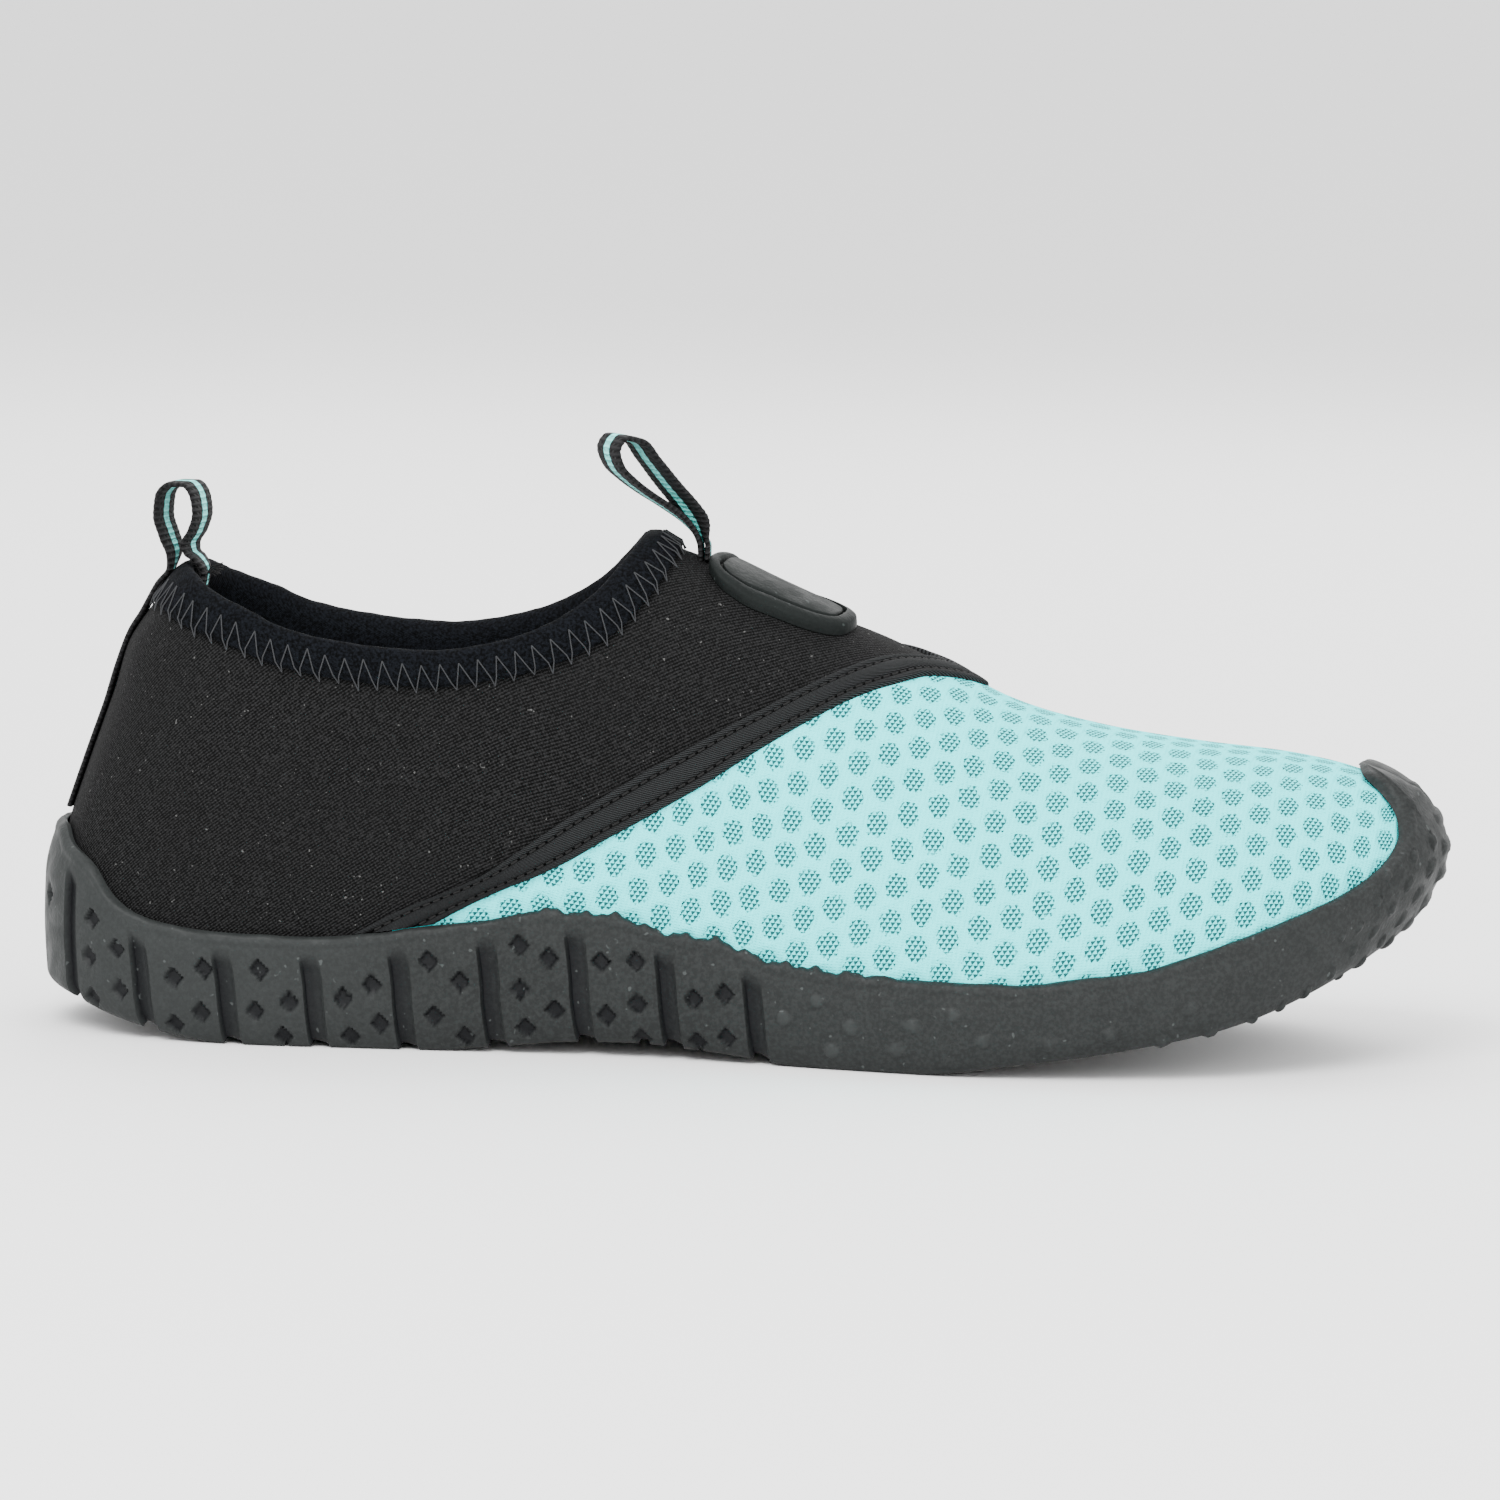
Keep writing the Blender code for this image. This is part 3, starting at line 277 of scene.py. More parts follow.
# The seam tape across: place from its front edge -1 to its back edge 1, and share of its thickness
SEAM_PROFILE = (
    (-1.0, 0.0), (-1.0, 0.55), (-0.95, 0.9), (-0.84, 1.05), (-0.68, 0.98), (-0.6, 0.62), (-0.54, 0.4),
    (-0.48, 0.62), (-0.4, 1.1), (-0.22, 1.34), (0.0, 1.4), (0.22, 1.34), (0.4, 1.1), (0.48, 0.62),
    (0.54, 0.4), (0.6, 0.62), (0.68, 0.98), (0.84, 1.05), (0.95, 0.9), (1.0, 0.55), (1.0, 0.0),
)

# The badge from its edge over its rim and groove to its flat field: place inwards and lift
BADGE_PROFILE = (
    (0.0, 0.0003), (0.0, 0.001), (0.0001, 0.0019), (0.00022, 0.00218), (0.0005, 0.0024), (0.001, 0.0026),
    (0.0016, 0.00268), (0.0019, 0.0026), (0.00205, 0.0022), (0.0021, 0.0013), (0.0026, 0.0013),
    (0.00265, 0.0021), (0.0028, 0.00235), (0.0031, 0.0024),
)


class Curve:
    """A smooth line through the rows of a table that doesn't overshoot them."""

    def __init__(self, rows, column=1, round_ends=True):
        table = np.array(rows, float)
        self.round_ends = round_ends
        self.places = self.place(table[:, 0])
        self.values = table[:, column]
        spans = np.diff(self.places)
        rises = np.diff(self.values) / spans
        self.slopes = np.zeros(len(table))
        self.slopes[0] = rises[0]
        self.slopes[-1] = rises[-1]
        before = 2 * spans[1:] + spans[:-1]
        after = spans[1:] + 2 * spans[:-1]
        same = rises[:-1] * rises[1:] > 0
        low = np.where(same, rises[:-1], 1.0)
        high = np.where(same, rises[1:], 1.0)
        self.slopes[1:-1] = np.where(same, (before + after) / (before / low + after / high), 0.0)

    def place(self, at):
        if self.round_ends:
            return np.arccos(1 - 2 * np.clip(at, 0.0, 1.0))
        return np.asarray(at, float)

    def __call__(self, at):
        at = np.clip(self.place(at), self.places[0], self.places[-1])
        row = np.clip(np.searchsorted(self.places, at, side="right") - 1, 0, len(self.places) - 2)
        span = self.places[row + 1] - self.places[row]
        part = (at - self.places[row]) / span
        square = part * part
        cube = square * part
        start = self.slopes[row] * span
        end = self.slopes[row + 1] * span
        return ((2 * cube - 3 * square + 1) * self.values[row] + (cube - 2 * square + part) * start
                + (3 * square - 2 * cube) * self.values[row + 1] + (cube - square) * end)


centre_line = Curve(PLAN, 1)
half_width = Curve(PLAN, 2)
spring = Curve(TREAD, 1)
bevel = Curve(TREAD, 2)
thickness = Curve(TREAD, 3)
ridge_line = Curve(RIDGE, 1)
squareness = Curve(RIDGE, 2)
collar_line = Curve(COLLAR)
rim_line = Curve(RIM)
heel_profile = Curve(HEEL_LINE, round_ends=False)
toe_profile = Curve(TOE_LINE, round_ends=False)
seam_front = Curve(SEAM, 1, round_ends=False)
seam_back = Curve(SEAM, 2, round_ends=False)
shield_half = Curve(SHIELD, round_ends=False)


def tread_height(along):
    return TOE_SPRING * spring(along) + HEEL_BEVEL * bevel(along)


def bed_height(along):
    return TOE_SPRING * spring(along) + SOLE_THICKNESS * thickness(along)


def ridge_height(along):
    return INSTEP_HEIGHT * ridge_line(along)


def rim_height(along):
    return INSTEP_HEIGHT * rim_line(along)


def end_turn(along):
    """How far a layer's lift points to the heel and to the toe, from 0 to 1."""
    return np.maximum(0.0, 1 - along / HEEL_ZONE), np.maximum(0.0, 1 - (1 - along) / TOE_ZONE)


def sideways(along):
    """Share of a layer's lift that points to the side."""
    heel, toe = end_turn(along)
    return np.sqrt(1 - np.minimum(1.0, np.maximum(heel, toe)) ** 2)


def outline(along, side, lift=0.0):
    """Plan outline at the widest level; side is -1 for the outer side and 1 for the inner."""
    heel, toe = end_turn(along)
    half = BALL_WIDTH * half_width(along) + lift * sideways(along)
    x = LAST_START + LAST_LENGTH * along + lift * (toe - heel)
    return x, BALL_WIDTH * centre_line(along) + side * half


def widest(side):
    return float(np.max(side * outline(np.linspace(0, 1, 201), side, RUBBER_WALL + GAP)[1]))


CENTRE_X = LENGTH / 2
CENTRE_Y = (widest(1) - widest(-1)) / 2


def lean(along, height):
    """Shift along the shoe that gives the heel and toe their side profiles."""
    heel = np.maximum(0.0, 1 - along / HEEL_FADE) ** 2
    toe = np.maximum(0.0, 1 - (1 - along) / TOE_FADE) ** 2
    share = height / INSTEP_HEIGHT
    return HEEL_LEAN * heel_profile(share) * heel - TOE_UNDERCUT * toe_profile(share) * toe


def last_point(along, around, lift=0.0):
    """Points of the upper's outer face, around from the outer footbed edge -1 over the ridge 0 to 1."""
    along, around, lift = np.broadcast_arrays(np.asarray(along, float), around, lift)
    square = squareness(along)
    bed = bed_height(along) + GAP
    angle = np.minimum(1.0, np.abs(around)) * RIGHT_ANGLE
    x, edge = outline(along, np.where(around < 0, -1.0, 1.0), lift)
    middle = BALL_WIDTH * centre_line(along)
    height = bed + (ridge_height(along) + lift - bed) * np.maximum(0.0, np.cos(angle)) ** (2 / square)
    y = middle + (edge - middle) * np.sin(angle) ** (2 / square)
    return np.stack((x + lean(along, height) - CENTRE_X, y - CENTRE_Y, height), axis=-1)


def section_point(along, around, lift=0.0):
    """Point of a section that bows back over the ridge near the toe, where the bumper's edge runs."""
    rising = TOE_BOW * np.maximum(0.0, (along - BOW_START) / (BOW_FULL - BOW_START)) ** 2
    bow = np.where(along < BOW_FULL, rising, TOE_BOW * (1 - along) / (1 - BOW_FULL))
    return last_point(along - bow * (1 - around * around) ** 8, around, lift)


def around_at(along, height):
    """Place around the section where the outer face has a height."""
    bed = bed_height(along) + GAP
    share = np.clip((height - bed) / (ridge_height(along) - bed), 0.0, 1.0)
    return np.arccos(share ** (squareness(along) / 2)) / RIGHT_ANGLE


def collar_height(along, drop=0.0):
    """Height of the collar's edge, or of a line that lies a drop away from it, round its front too."""
    turn = np.clip((along - COLLAR_RISE) / (COLLAR_STEEP - COLLAR_RISE), 0.0, 1.0)
    return INSTEP_HEIGHT * collar_line(along - COLLAR_SLANT * turn * drop / LAST_LENGTH) - drop


def meets_ridge(line, low, high):
    """Place along the shoe where a rising line reaches the ridge."""
    low = np.asarray(low, float)
    high = np.asarray(high, float)
    for _ in range(40):
        middle = (low + high) / 2
        under = line(middle) < ridge_height(middle)
        low, high = np.where(under, middle, low), np.where(under, high, middle)
    return (low + high) / 2


COLLAR_FRONT = float(meets_ridge(collar_height, 0.36, 0.55))
BUMPER_BACK = float(meets_ridge(rim_height, 0.90, 0.999))


def eased(start, end, count):
    """Places from start to end, close together at both ends."""
    share = (1 - np.cos(np.pi * np.linspace(0, 1, count + 1))) / 2
    return start + (end - start) * share


def ramp(low, high, at):
    """Smooth step from 0 at low to 1 at high."""
    share = np.clip((at - low) / (high - low), 0.0, 1.0)
    return share * share * (3 - 2 * share)


# Mesh making


def deselect():
    """Leaves edit mode and deselects everything, because an operator acts on all that is selected."""
    if bpy.context.object and bpy.context.object.mode != "OBJECT":
        bpy.ops.object.mode_set(mode="OBJECT")
    bpy.ops.object.select_all(action="DESELECT")


def pick(piece):
    deselect()
    piece.select_set(True)
    bpy.context.view_layer.objects.active = piece


def distances(points, axis=0):
    """Distance walked along one direction of a grid of points."""
    step = np.linalg.norm(np.diff(points, axis=axis), axis=-1)
    start = np.zeros_like(np.take(step, [0], axis=axis))
    return np.cumsum(np.concatenate((start, step), axis=axis), axis=axis)


def along_line(line, at):
    """Points at some distances along a line of points."""
    walked = distances(line)
    return np.stack([np.interp(at, walked, part) for part in line.T], axis=-1)


def even(line, count):
    """Points at even steps along a line of points."""
    return along_line(line, np.linspace(0, distances(line)[-1], count + 1))


def closed(points, axis=0):
    """Repeats the first points at the end."""
    return np.concatenate((points, np.take(points, [0], axis=axis)), axis=axis)


def unit(vectors):
    return vectors / np.linalg.norm(vectors, axis=-1)[..., None]


def add_sheet(name, points, materials, chart=None, painted_shade_and_wear=None):
    """Adds a grid primitive and lays it on a grid of points, rows first.

    chart says where each point is on the flat cloth, in metres, for a pattern that follows the surface.
    The last argument says how deep in one of the recesses each point lies, from 0 to 1, for the material's
    painted shade; below 0 it marks the worn, lighter nubs.
    """
    rows, columns = points.shape[0] - 1, points.shape[1] - 1
    deselect()
    bpy.ops.mesh.primitive_grid_add(x_subdivisions=columns, y_subdivisions=rows, size=2, calc_uvs=True)
    sheet = bpy.context.object
    sheet.name = name
    data = sheet.data
    flat = np.empty(3 * len(data.vertices))
    data.vertices.foreach_get("co", flat)
    flat = flat.reshape(-1, 3)
    column = np.rint((flat[:, 0] + 1) / 2 * columns).astype(int)
    row = np.rint((flat[:, 1] + 1) / 2 * rows).astype(int)
    data.vertices.foreach_set("co", points[row, column].ravel())
    corners = np.empty(len(data.loops), int)
    data.loops.foreach_get("vertex_index", corners)
    if chart is None:
        chart = np.zeros(points.shape[:2] + (2,))
    data.uv_layers[0].data.foreach_set("uv", chart[row, column][corners].ravel())
    if painted_shade_and_wear is not None:
        layer = data.attributes.new("painted_shade_and_wear", "FLOAT", "POINT")
        layer.data.foreach_set("value", painted_shade_and_wear[row, column].ravel())
    data.update()
    for material in materials:
        data.materials.append(material)
    return sheet


def join(pieces, name):
    """Joins pieces into the first one."""
    pick(pieces[0])
    for piece in pieces[1:]:
        piece.select_set(True)
    bpy.ops.object.join()
    pieces[0].name = name
    return pieces[0]


def weld(piece, fill=False, distance=2e-6):
    """Merges doubled points, closes open ends if asked and turns all faces outwards."""
    pick(piece)
    bpy.ops.object.mode_set(mode="EDIT")
    bpy.ops.mesh.select_all(action="SELECT")
    bpy.ops.mesh.remove_doubles(threshold=distance)
    if fill:
        bpy.ops.mesh.select_all(action="DESELECT")
        bpy.ops.mesh.select_mode(type="EDGE")
        bpy.ops.mesh.select_non_manifold(extend=False, use_wire=False, use_multi_face=False,
                                         use_non_contiguous=False, use_verts=False)
        bpy.ops.mesh.fill_holes(sides=0)
    bpy.ops.mesh.select_all(action="SELECT")
    bpy.ops.mesh.normals_make_consistent(inside=False)
    bpy.ops.object.mode_set(mode="OBJECT")


def finish_piece(piece, angle=50, nodes=()):
    """Smooths a piece, hangs it on the shoe and hides the imported parts that it stands for."""
    pick(piece)
    bpy.ops.object.shade_smooth_by_angle(angle=math.radians(angle))
    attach(piece, "root")
    if nodes:
        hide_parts(*nodes)


def add_threads(name, paths, radius, material, sides=2):
    """Adds lengths of thread as round tubes along paths of points."""
    deselect()
    data = bpy.data.curves.new(name, "CURVE")
    data.dimensions = "3D"
    data.bevel_depth = radius
    data.bevel_resolution = sides
    data.use_fill_caps = True
    for path in paths:
        spline = data.splines.new("POLY")
        spline.points.add(len(path) - 1)
        flat = np.ones((len(path), 4))
        flat[:, :3] = path
        spline.points.foreach_set("co", flat.ravel())
    threads = bpy.data.objects.new(name, data)
    bpy.context.scene.collection.objects.link(threads)
    pick(threads)
    bpy.ops.object.convert(target="MESH")
    threads = bpy.context.object
    threads.data.materials.append(material)
    finish_piece(threads, 80)


# Materials


def linear(red, green, blue):
    """Linear colour of an 8-bit screen colour."""
    return tuple(((part / 255 + 0.055) / 1.055) ** 2.4 for part in (red, green, blue))


def toned(colour, share):
    """A colour made darker or lighter."""
    return tuple(share * part for part in colour)


class Finish:
    """A material and short ways to add nodes to it."""

    def __init__(self, name, colour, roughness, gloss=0.5):
        self.colour = colour
        self.material = bpy.data.materials.new(name)
        self.material.use_nodes = True
        self.nodes = self.material.node_tree.nodes
        self.links = self.material.node_tree.links
        self.shader = self.nodes["Principled BSDF"]
        self.shader.inputs["Base Color"].default_value = (*colour, 1.0)
        self.shader.inputs["Roughness"].default_value = roughness
        self.shader.inputs["Specular IOR Level"].default_value = gloss
        self.material.diffuse_color = (*colour, 1.0)

    def put(self, socket, value):
        """Links a socket to a value from another node, or sets it to a number or colour."""
        if isinstance(value, bpy.types.NodeSocket):
            self.links.new(value, socket)
        else:
            socket.default_value = value

    def math(self, operation, *values):
        node = self.nodes.new("ShaderNodeMath")
        node.operation = operation
        for socket, value in zip(node.inputs, values):
            self.put(socket, value)
        return node.outputs[0]

    def add(self, first, second):
        return self.math("ADD", first, second)

    def times(self, first, second):
        return self.math("MULTIPLY", first, second)

    def blend(self, first, first_share, second, second_share):
        """Sum of two values, each times a number."""
        return self.add(self.times(first, first_share), self.times(second, second_share))

    def parts(self, vector):
        node = self.nodes.new("ShaderNodeSeparateXYZ")
        self.links.new(vector, node.inputs[0])
        return node.outputs[0], node.outputs[1]

    def chart(self):
        """Place on the flat cloth in metres: along and across."""
        return self.parts(self.nodes.new("ShaderNodeUVMap").outputs[0])

    def place(self):
        return self.nodes.new("ShaderNodeTexCoord").outputs["Object"]

    def painted_shade_and_wear(self):
        """How deep in one of the recesses the surface lies, from 0 to 1, for its painted shade; below 0 on
        the worn nubs.
        """
        node = self.nodes.new("ShaderNodeAttribute")
        node.attribute_name = "painted_shade_and_wear"
        return node.outputs["Fac"]

    def noise(self, vector, scale, detail=2.0, roughness=0.5):
        node = self.nodes.new("ShaderNodeTexNoise")
        self.put(node.inputs["Vector"], vector)
        for socket, value in (("Scale", scale), ("Detail", detail), ("Roughness", roughness)):
            node.inputs[socket].default_value = value
        return node.outputs["Fac"]

    def span(self, value, low, high, start=0.0, end=1.0):
        """Smooth step of a value."""
        node = self.nodes.new("ShaderNodeMapRange")
        node.interpolation_type = "SMOOTHSTEP"
        self.put(node.inputs["Value"], value)
        for socket, number in zip(("From Min", "From Max", "To Min", "To Max"), (low, high, start, end)):
            node.inputs[socket].default_value = number
        return node.outputs["Result"]

    def mix(self, share, first, second):
        """Mixes two colours. A plain number stands for that share of the finish's own colour."""
        node = self.nodes.new("ShaderNodeMix")
        node.data_type = "RGBA"
        self.put(node.inputs[0], share)
        for number, colour in ((6, first), (7, second)):
            if isinstance(colour, float):
                colour = toned(self.colour, colour)
            if isinstance(colour, tuple):
                colour = (*colour, 1.0)
            self.put(node.inputs[number], colour)
        return node.outputs[2]

    def paint(self, colour):
        self.links.new(colour, self.shader.inputs["Base Color"])

    def relief(self, height, depth):
        """Raises the surface by a height from 0 to 1 times a depth in metres, on top of earlier relief."""
        node = self.nodes.new("ShaderNodeBump")
        node.inputs["Strength"].default_value = 1.0
        node.inputs["Distance"].default_value = depth
        self.put(node.inputs["Height"], height)
        before = self.shader.inputs["Normal"].links
        if before:
            self.links.new(before[0].from_socket, node.inputs["Normal"])
        self.links.new(node.outputs["Normal"], self.shader.inputs["Normal"])

    def ribs(self, along, across, turn, pitch):
        """Ribs of a cloth at a turn in degrees and a pitch, from 0 to 1."""
        turn = math.radians(turn)
        round_off = 2 * math.pi / pitch
        phase = self.blend(along, math.cos(turn) * round_off, across, math.sin(turn) * round_off)
        return self.math("MULTIPLY_ADD", self.math("SINE", phase), 0.5, 0.5)


def neoprene_finish(colour, lint):
    """Black jersey over neoprene: fine slanted ribs and small specks of lint."""
    cloth = Finish("Neoprene_jersey", colour, 0.88, 0.085)
    along, across = cloth.chart()
    place = cloth.place()
    ribs = cloth.ribs(along, across, 52, 0.00054)
    cross = cloth.ribs(along, across, -38, 0.00066)
    knit = cloth.times(ribs, cloth.math("MULTIPLY_ADD", cross, 0.6, 0.4))
    knit = cloth.add(knit, cloth.span(cloth.noise(place, 2200), 0.35, 0.7, -0.22, 0.34))
    tone = cloth.mix(knit, 0.0, 4.3)
    broad = cloth.span(cloth.noise(place, 28, 3), 0.35, 0.75, 0.0, 0.30)
    tone = cloth.mix(broad, tone, 1.4)
    specks = cloth.span(cloth.noise(place, 1250, 1), 0.735, 0.80, 0.0, 0.42)
    cloth.paint(cloth.mix(specks, tone, lint))
    cloth.relief(knit, 0.00016)
    return cloth.material


def mesh_finish(colour, mark, dot_width, dot_height):
    """Spacer mesh: smooth knit with staggered oval dots, each a small net of open triangles."""
    cloth = Finish("Spacer_mesh", colour, 0.80, 0.25)
    along, across = cloth.chart()
    place = cloth.place()
    (ahead, down), (back, up) = DOT_STEPS
    area = ahead * up - down * back
    first = cloth.blend(along, up / area, across, -back / area)
    second = cloth.blend(along, -down / area, across, ahead / area)
    inside = [cloth.math("SUBTRACT", cloth.math("FRACT", cloth.add(part, 50.5)), 0.5)
              for part in (first, second)]
    x = cloth.blend(inside[0], ahead, inside[1], back)
    y = cloth.math("MULTIPLY_ADD", x, DOT_SLANT, cloth.blend(inside[0], down, inside[1], up))
    squares = [cloth.math("POWER", cloth.math("ABSOLUTE", cloth.math("DIVIDE", part, size / 2)), 2)
               for part, size in ((x, dot_width), (y, dot_height))]
    far = cloth.math("SQRT", cloth.add(*squares))
    row = cloth.math("DIVIDE", y, MARK_ROW)
    number = cloth.math("FLOOR", row)
    shift = cloth.times(cloth.math("MODULO", cloth.add(number, 20), 2), 0.5)
    column = cloth.add(cloth.math("DIVIDE", x, MARK_PITCH), cloth.add(shift, 20))
    mark_x = cloth.math("SUBTRACT", cloth.math("FRACT", column), 0.5)
    mark_y = cloth.math("SUBTRACT", row, number)
    wide = cloth.math("MULTIPLY_ADD", mark_y, -0.46, 0.42)
    leaning = cloth.math("ABSOLUTE", cloth.math("MULTIPLY_ADD", mark_y, 0.22, mark_x))
    open_net = cloth.span(cloth.math("SUBTRACT", wide, leaning), -0.09, 0.05)
    ragged = cloth.math("MULTIPLY_ADD", cloth.noise(place, 1100, 1), 0.7, cloth.math("SUBTRACT", far, 0.35))
    keep = cloth.span(ragged, 0.82, 1.04, 1.0, 0.0)
    marks = cloth.times(open_net, keep)
    grain = cloth.times(cloth.ribs(along, across, 80, 0.00050), cloth.ribs(along, across, 12, 0.00075))
    tone = cloth.mix(cloth.span(cloth.noise(place, 40, 3), 0.3, 0.8, 0.0, 0.5), colour, 0.90)
    fluff = cloth.span(cloth.noise(place, 1300), 0.42, 0.66, 0.0, 0.30)
    tone = cloth.mix(cloth.math("MAXIMUM", cloth.times(grain, 0.30), fluff), tone,
                     (0.62 * colour[0], 0.84 * colour[1], 0.84 * colour[2]))
    shade = cloth.mix(cloth.times(keep, 0.05), tone, mark)
    cloth.paint(cloth.mix(marks, shade, mark))
    cloth.relief(grain, 0.00008)
    cloth.relief(cloth.math("SUBTRACT", 1.0, marks), 0.00030)
    cloth.relief(cloth.span(far, 0.7, 1.5), 0.00035)
    return cloth.material


def rubber_finish(name, colour, roughness=0.58, gloss=0.16, grain_share=0.55):
    """Moulded rubber: matt grain, faint clouds, a little light dust, painted light that makes the heel end
    lighter, painted shade in its recesses and lighter worn nubs.
    """
    rubber = Finish(name, colour, roughness, gloss)
    place = rubber.place()
    clouds = rubber.span(rubber.noise(place, 60, 4, 0.6), 0.3, 0.7)
    tone = rubber.mix(clouds, 0.70, 0.88)
    # Painted light: the rubber at the heel end is made lighter, as if more light falls on it there.
    painted_heel_light = rubber.span(rubber.parts(place)[0], -0.095, -0.040, 1.0, 0.0)
    tone = rubber.mix(painted_heel_light, tone, 1.22)
    grain = rubber.span(rubber.noise(place, 1350, 2, 0.6), 0.36, 0.68, 0.0, grain_share)
    tone = rubber.mix(grain, tone, 1.75)
    # Painted shade: darker and bluer in the recesses; lighter where the nubs are worn.
    painted_shade_and_wear = rubber.painted_shade_and_wear()
    tone = rubber.mix(painted_shade_and_wear, tone, (0.05 * colour[0], 0.06 * colour[1], 0.14 * colour[2]))
    tone = rubber.mix(rubber.times(painted_shade_and_wear, -1.0), tone, 2.1)
    dust = rubber.span(rubber.noise(place, 700, 1), 0.72, 0.79, 0.0, 0.6)
    rubber.paint(rubber.mix(dust, tone, 5.0))
    matt = rubber.span(rubber.noise(place, 240), 0.3, 0.7, roughness - 0.06, roughness + 0.10)
    rubber.put(rubber.shader.inputs["Roughness"], matt)
    rubber.relief(rubber.noise(place, 1500), 0.00010)
    rubber.relief(rubber.noise(place, 300), 0.00012)
    return rubber.material


def jersey_finish(colour):
    """Navy-black stretch jersey of the folded binding."""
    cloth = Finish("Binding_jersey", colour, 0.92, 0.06)
    place = cloth.place()
    ribs = cloth.ribs(*cloth.chart(), 62, 0.00048)
    fuzz = cloth.noise(place, 900, 3, 0.75)
    grain = cloth.span(cloth.noise(place, 1700, 2, 0.7), 0.36, 0.64)
    tone = cloth.mix(grain, 0.2, 2.4)
    tone = cloth.mix(cloth.times(ribs, 0.35), tone, 0.4)
    cloth.paint(cloth.mix(cloth.span(fuzz, 0.62, 0.80, 0.0, 0.5), tone, 4.0))
    cloth.relief(ribs, 0.00005)
    cloth.relief(fuzz, 0.00016)
    return cloth.material


def twill_finish(colour):
    """Dark twill of the seam tape, with its slanted ribs and painted shade in the furrows of its seams."""
    cloth = Finish("Seam_twill", colour, 0.82, 0.11)
    ribs = cloth.ribs(*cloth.chart(), 38, 0.00080)
    grain = cloth.noise(cloth.place(), 900)
    tone = cloth.mix(ribs, 0.0, 3.2)
    tone = cloth.mix(cloth.span(grain, 0.6, 0.8, 0.0, 0.4), tone, 2.6)
    # Painted shade: the furrows of the seams are darkened almost to black.
    cloth.paint(cloth.mix(cloth.painted_shade_and_wear(), tone, 0.05))
    cloth.relief(ribs, 0.00024)
    cloth.relief(grain, 0.00010)
    return cloth.material


def stripe_finish(colour, stripe, stripe_width):
    """Woven black tape with a mint stripe down its middle."""
    cloth = Finish("Striped_tape", colour, 0.84, 0.2)
    along, across = cloth.chart()
    off = cloth.math("ABSOLUTE", across)
    up = cloth.ribs(along, off, 45, 0.00115)
    weave = cloth.math("MAXIMUM", cloth.times(up, 0.5), cloth.ribs(along, across, 0, TAPE_RIB))
    wavy = cloth.math("MULTIPLY_ADD", up, 0.00018, off)
    band = cloth.span(wavy, stripe_width / 2, stripe_width / 2 + 0.00012, 1.0, 0.0)
    dark = cloth.mix(weave, 0.2, 2.4)
    light = cloth.mix(weave, toned(stripe, 0.62), stripe)
    cloth.paint(cloth.mix(band, dark, light))
    cloth.relief(weave, 0.00036)
    return cloth.material


def grain_finish(name, colour, roughness=0.75, gloss=0.2, grain=(2600, 2), light=1.4, depth=0.00008):
    """Spun thread, or plain cloth, with a fine grain."""
    cloth = Finish(name, colour, roughness, gloss)
    height = cloth.noise(cloth.place(), *grain)
    cloth.paint(cloth.mix(height, 0.6, light))
    cloth.relief(height, depth)
    return cloth.material


# Pieces


def cloth_chart(alongs, side, around):
    """Where points of the upper lie on the flat cloth: along the shoe, and down from the ridge."""
    steps = np.linspace(0, 1, 121)
    full = section_point(alongs[None], side * steps[:, None])
    run = distances(full, 1)
    start = int(np.argmin(np.abs(alongs - 0.60)))
    run = run - run[:, [start]] + LAST_LENGTH * alongs[start]
    down = -side * distances(full)
    chart = np.empty(around.shape + (2,))
    for column in range(len(alongs)):
        chart[:, column, 0] = np.interp(around[:, column], steps, run[:, column])
        chart[:, column, 1] = np.interp(around[:, column], steps, down[:, column])
    return chart


def seam_along(around, share):
    """Place along the shoe of a line on the seam tape, from its front edge -1 to its back edge 1."""
    front = seam_front(around)
    back = seam_back(around)
    return (front + back) / 2 + (back - front) / 2 * share


def upper_sheet(side, materials):
    """One side of the upper's outer face, from the footbed up to the collar or the ridge."""
    collar = eased(0.0, COLLAR_FRONT, COLLAR_COLUMNS)
    alongs = np.concatenate((collar, eased(COLLAR_FRONT, 1.0, VAMP_COLUMNS)[1:]))
    edge = np.where(alongs < COLLAR_FRONT, around_at(alongs, collar_height(alongs)), 0.0)
    around = 1 - (1 - edge) * np.arange(UPPER_ROWS + 1)[:, None] / UPPER_ROWS
    points = section_point(alongs, side * around)
    sheet = add_sheet("upper_side", points, materials, cloth_chart(alongs, side, around))
    along = (alongs[1:] + alongs[:-1]) / 2
    middle = 1 - (1 - (edge[1:] + edge[:-1]) / 2) * (np.arange(UPPER_ROWS)[:, None] + 0.5) / UPPER_ROWS
    mesh = along > seam_along(middle, 0.0)
    sheet.data.polygons.foreach_set("material_index", mesh.astype(int).ravel())
    return sheet


def collar_ring(drop, lift):
    """Closed rings of points that lie a drop away from the collar's edge; drop and lift may be arrays."""
    drop = np.asarray(drop, float)[..., None]
    lift = np.asarray(lift, float)[..., None]
    ends = [np.full(drop.shape, end) for end in (0.36, 0.56)]
    along = eased(0.0, meets_ridge(lambda place: collar_height(place, drop), *ends), RING_COLUMNS)
    around = around_at(along, collar_height(along, drop))
    outer, inner = (last_point(along, side * around, lift) for side in (-1, 1))
    return np.concatenate((outer, inner[..., -2::-1, :]), axis=-2)


def smooth_route(points, count):
    """Even points along a smooth curve through a few points."""
    points = np.array(points, float)
    walked = distances(points)
    at = np.linspace(0, walked[-1], count + 1)
    curves = [Curve(np.column_stack((walked, part)), round_ends=False) for part in points.T]
    return np.stack([curve(at) for curve in curves], axis=-1)


